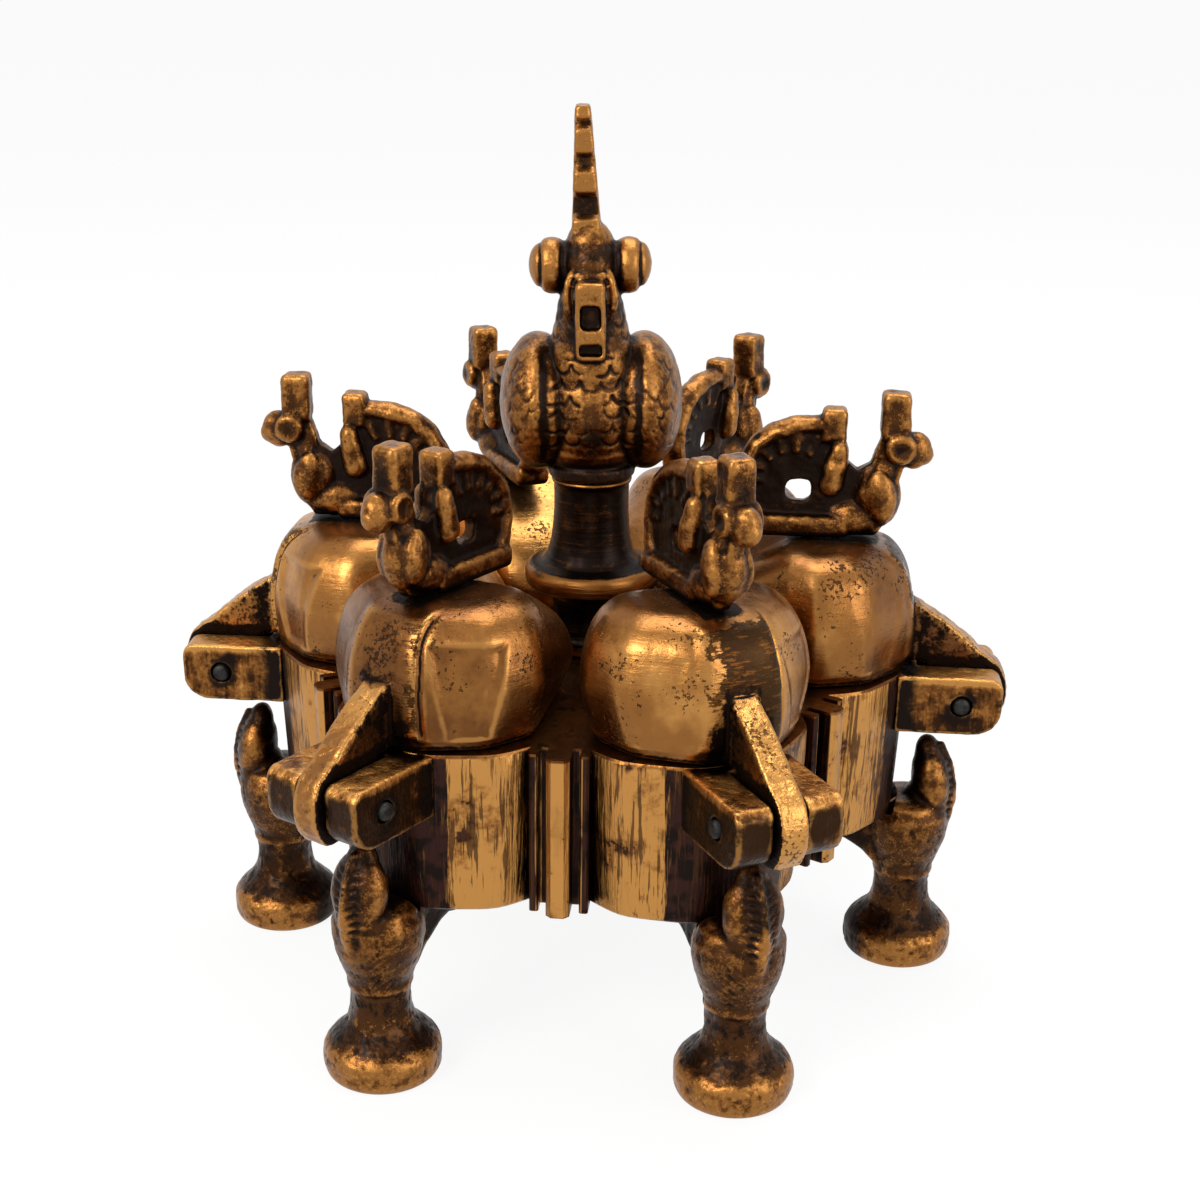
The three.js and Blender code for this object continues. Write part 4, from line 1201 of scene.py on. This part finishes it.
def dressed_peacock(mesh):
    """Engraves the scales of breast and wings and notes the grime and painted shade"""
    seat = PEACOCK_SEAT
    points, normals, x, y, z = skin_of(mesh)
    beside = np.abs(y)
    chance = uneven(points, 4.5)
    breast = smooth(0.0, 0.35, normals[:, 0]) * fall(7.0, 8.0, beside) * between(96, 99, 119.5, 122, z)
    breast *= (x < 10.6) * smooth(-0.6, 0.0, chance)
    angle = np.arctan2(y, np.maximum(x + 2, 0.5))
    scales = scale_marks(angle * 9.0, z, 2.7, 2.5) * breast
    wing_front = between(8.2, 8.9, 13.6, 15, beside) * smooth(-0.2, 0.2, normals[:, 0])
    wing_front *= between(95, 98, 112, 114, z) * smooth(-0.35, 0.15, chance)
    feathers = scale_marks(beside * 1.25, z + 0.8 * beside, 2.4, 2.2) * wing_front
    wander = beside + 0.5 * uneven(points, 3.5)
    crease = bump(wander - 8.0, 0.95) * smooth(1, 3, x) * between(94, 97, 113, 116, z)
    eye_groove = bump(beside - 8.5, 0.45) * bump(z - 127.4, 6) * (z > 120)
    notch = bump(beside - 4.7, 0.6) * bump(z - 127.8, 5) * (x > 0)
    shift = -0.32 * scales - 0.22 * feathers - 0.35 * crease - 0.4 * eye_groove - 0.3 * notch
    shift += 0.12 * uneven(points, 3.0) * smooth(seat, seat + 1, z)
    points += normals * shift[:, None]
    settle(mesh, points)
    # Painted shade under the brow and in the lap, throat and sides of the neck, with the grime of the
    # engraved lines
    brow = bump(z - 130.2, 2.6) * (beside < 5) * smooth(1, 4, x) * 0.75
    lap = bump(z - 100.5, 4.5) * bump(y - 0.5, 3.6) * smooth(6, 8, x) * 0.75
    throat = bump(z - 118, 5) * bump(beside - 3.4, 1.6) * 0.7
    neck_side = bump(beside - 5.2, 1.6) * bump(z - 122, 6) * 0.7
    collar = bump(z - seat - 2.6, 1.3)
    steps = smooth(133, 135, z) * fall(3.0, 3.9, x) * smooth(0.4, 0.8, normals[:, 0]) * 0.9
    band = bump(z - seat - 1, 1.6) * 0.85
    below_crest = fall(116, 118, z)
    mottled = smooth(8.4, 9.4, beside) * below_crest * 0.28
    at_beak = (z > 112.5) * (z < 127)
    frame_mark = (x > 8.2) * at_beak * 0.26
    note_share(
        mesh, "grime_and_shade", scales, feathers * 0.8, crease, eye_groove, notch, brow, lap, throat,
        neck_side, collar, steps, band, mottled, frame_mark,
    )
    # Rubbed lighter on the wings, beak and eyes, and painted highlight on the crest
    wing = smooth(8.6, 10.5, beside) * below_crest * (0.4 + 0.5 * smooth(11.5, 13.5, beside))
    crest = smooth(132.5, 135, z) * 1.6
    mouth = (x > 8.8) * at_beak * 1.0
    eyes = smooth(5.2, 6.5, beside) * (z > 121) * 1.2
    note(mesh, "rubbed_and_lit", np.maximum(wing, 0.58), crest, mouth, eyes)
    return mesh


def pedestal_mesh():
    shape = bmesh.new()
    low, high = LID_SEAT, 91.0
    turned(shape, [
        (2.5, low), (7.6, low), (7.8, 59.6), (7.8, 61.6), (7.2, 62.4), (6.7, 64.4), (6.6, 66.4),
        (6.9, 69), (8.6, 70.4), (10.8, 71.2), (11.6, 71.8), (11.8, 72.6), (11.8, 74.0), (11.5, 74.7),
        (10.9, 75.1), (9.6, 75.5), (8.6, 76.1), (7.8, 77.3), (7.2, 79.2), (6.85, 82), (6.65, 85),
        (6.6, 88), (6.65, 89.8), (7.0, 90.3), (7.1, high), (2.5, high), (2.5, low),
    ], 96)
    bmesh.ops.subdivide_edges(shape, edges=shape.edges, cuts=1, use_grid_fill=True)
    mesh = mesh_of(shape)
    points, normals, x, y, z = skin_of(mesh)
    lines = (np.sin(z * 9.3) * 0.02 + np.sin(z * 4.1 + 1) * 0.03) * (np.hypot(x, y) > 3)
    points += normals * lines[:, None]
    settle(mesh, points, low, high)
    return mesh


class SINDOOR_OT_handle(bpy.types.Operator):
    """Make the turned pedestal and the large peacock"""

    bl_idname = "sindoor.handle"
    bl_label = "Handle"

    def execute(self, context):
        placed(pedestal_mesh(), "pedestal_turned", "box", turned_brass, "handle_pedestal")
        placed(large_peacock_mesh(), "peacock_cast", "box", patina_brass, "handle_peacock")
        return {"FINISHED"}


# Pins, rivets, stud, washer and nut

class SINDOOR_OT_fixings(bpy.types.Operator):
    """Make the hinge pins and rivets, and finish the stud, washer and nut"""

    bl_idname = "sindoor.fixings"
    bl_label = "Pins and rivets"

    def execute(self, context):
        pin = made(barrel, HINGE, 1.5, 9.8, 0.35)
        leg_rivet = made(turned, [
            (0, 23), (1.5, 23), (2.5, 23.5), (3, 24.4), (3, 24.5), (1.6, 24.5), (1.6, 34.0), (3, 34.0),
            (3, 34.4), (2.4, 35.1), (1.4, 35.5), (0, 35.5),
        ], 28, LEG_RIVET)
        lid_rivet = made(turned, [
            (0, 77.2), (1.4, 77.2), (2.4, 77.6), (2.8, 78.2), (2.8, 78.5), (1.3, 78.5), (1.3, 86.8),
            (0, 86.8),
        ], 28, LID_RIVET)
        for details in (
            (pin, "pin_drawn_{}", "box", "pin_steel", dull_steel, "hinge_pin_{}"),
            (leg_rivet, "leg_rivet_turned_{}", "box", "dark_brass", turned_brass, "leg_rivet_{}"),
            (lid_rivet, "lid_rivet_turned_{}", "lid_{}_body", "dark_brass", turned_brass,
             "lid_bird_rivet_{}"),
        ):
            copied_round(*details)
        for node in ("handle_stud", "handle_washer", "handle_nut"):
            solid = frame["nodes"][node]
            solid.data.materials.clear()
            solid.data.materials.append(dull_steel())
        return {"FINISHED"}


# Stage

def seen_rays(finish):
    """1 for the camera, in reflections and through glass, and 0 for light"""
    rays = ("Is Camera Ray", "Is Glossy Ray", "Is Transmission Ray")
    camera, glossy, clear = (finish.node("ShaderNodeLightPath", output=ray) for ray in rays)
    return camera.most(glossy, clear)


def floor_finish():
    finish = Finish("Studio floor")
    paint = finish.node("ShaderNodeBsdfDiffuse", inputs={"Color": colours().floor})
    glow = finish.node("ShaderNodeEmission", inputs={"Color": WHITE, "Strength": 1.0})
    inputs = {0: seen_rays(finish) * 0.9, 1: paint, 2: glow}
    return finish.shown(finish.node("ShaderNodeMixShader", inputs=inputs))


def soft_lamp(name, place, target, size, power, tone=(1, 1, 1)):
    lamp = bpy.data.lights.new(name, "AREA")
    lamp.shape = "RECTANGLE"
    lamp.size, lamp.size_y = size
    lamp.energy = power
    lamp.color = tone
    stand = fresh(name, lamp)
    stand.location = place
    away = Vector(target) - Vector(place)
    stand.rotation_euler = away.to_track_quat("-Z", "Y").to_euler()


def studio_world():
    """White for whatever looks at it, and dimmer as a source of light"""
    finish = Finish("Studio", "worlds")
    inputs = {"Color": WHITE, "Strength": seen_rays(finish).most(0.6)}
    return finish.shown(finish.node("ShaderNodeBackground", inputs=inputs), "World")


def photo_camera():
    """The camera as fitted to the photograph: 1200 by 1200 pixels, millimetres"""
    azimuth, elevation, roll = (math.radians(x) for x in (5.521, 22.761, 0.564))
    distance, aim_height, focal = 344.48, 47.018, 1853.69
    centre_x, centre_y, frame_size = 589.45, 704.52, 1200
    data = bpy.data.cameras.new("Camera")
    data.sensor_width = 36
    data.lens = 36 * focal / frame_size
    data.shift_x = (frame_size / 2 - centre_x) / frame_size
    data.shift_y = (centre_y - frame_size / 2) / frame_size
    data.clip_start, data.clip_end = 0.01, 50
    camera = fresh("Camera", data)
    camera.matrix_world = (
        Matrix.Translation((0, 0, aim_height * MM)) @ Matrix.Rotation(azimuth, 4, "Z")
        @ Matrix.Rotation(math.pi / 2 - elevation, 4, "X") @ Matrix.Rotation(roll, 4, "Z")
        @ Matrix.Translation((0, 0, distance * MM))
    )
    bpy.context.scene.camera = camera


class SINDOOR_OT_stage(bpy.types.Operator):
    """Make the floor, the lamps, the world and the camera"""

    bl_idname = "sindoor.stage"
    bl_label = "Stage"

    def execute(self, context):
        shape = bmesh.new()
        bmesh.ops.create_grid(shape, x_segments=2, y_segments=2, size=15)
        floor = fresh("floor", mesh_of(shape))
        floor.data.materials.append(floor_finish())
        aim = (0, 0, 0.07)
        soft_lamp("key", (-0.55, -0.75, 0.75), aim, (0.5, 0.5), 9.0, (1.0, 0.97, 0.92))
        soft_lamp("fill", (0.85, -0.5, 0.45), aim, (0.5, 0.7), 3.8)
        soft_lamp("top", (0.05, 0.25, 1.0), aim, (0.7, 0.5), 6.0)
        context.scene.world = studio_world()
        photo_camera()
        context.scene.view_settings.view_transform = "Standard"
        return {"FINISHED"}


class SINDOOR_PT_panel(bpy.types.Panel):
    """Lists the pieces of the box"""

    bl_idname = "SINDOOR_PT_panel"
    bl_label = "Sindoor box"
    bl_space_type = "VIEW_3D"
    bl_region_type = "UI"
    bl_category = "Sindoor box"

    def draw(self, context):
        for group in (context.scene.sindoor_sizes, context.scene.sindoor_colours):
            for name in group.__annotations__:
                self.layout.prop(group, name)
        for operator in OPERATORS:
            self.layout.operator(operator.bl_idname)


OPERATORS = (
    SINDOOR_OT_stage,
    SINDOOR_OT_tray,
    SINDOOR_OT_forks,
    SINDOOR_OT_lids,
    SINDOOR_OT_lid_peacocks,
    SINDOOR_OT_legs,
    SINDOOR_OT_handle,
    SINDOOR_OT_fixings,
)
CLASSES = (BoxSizes, BoxColours, *OPERATORS, SINDOOR_PT_panel)


def register():
    for item in CLASSES:
        bpy.utils.register_class(item)
    bpy.types.Scene.sindoor_sizes = PointerProperty(type=BoxSizes)
    bpy.types.Scene.sindoor_colours = PointerProperty(type=BoxColours)


def unregister():
    del bpy.types.Scene.sindoor_colours
    del bpy.types.Scene.sindoor_sizes
    for item in reversed(CLASSES):
        bpy.utils.unregister_class(item)


def main():
    register()
    for operator in OPERATORS:
        group, name = operator.bl_idname.split(".")
        getattr(getattr(bpy.ops, group), name)()


if __name__ == "__main__":
    main()
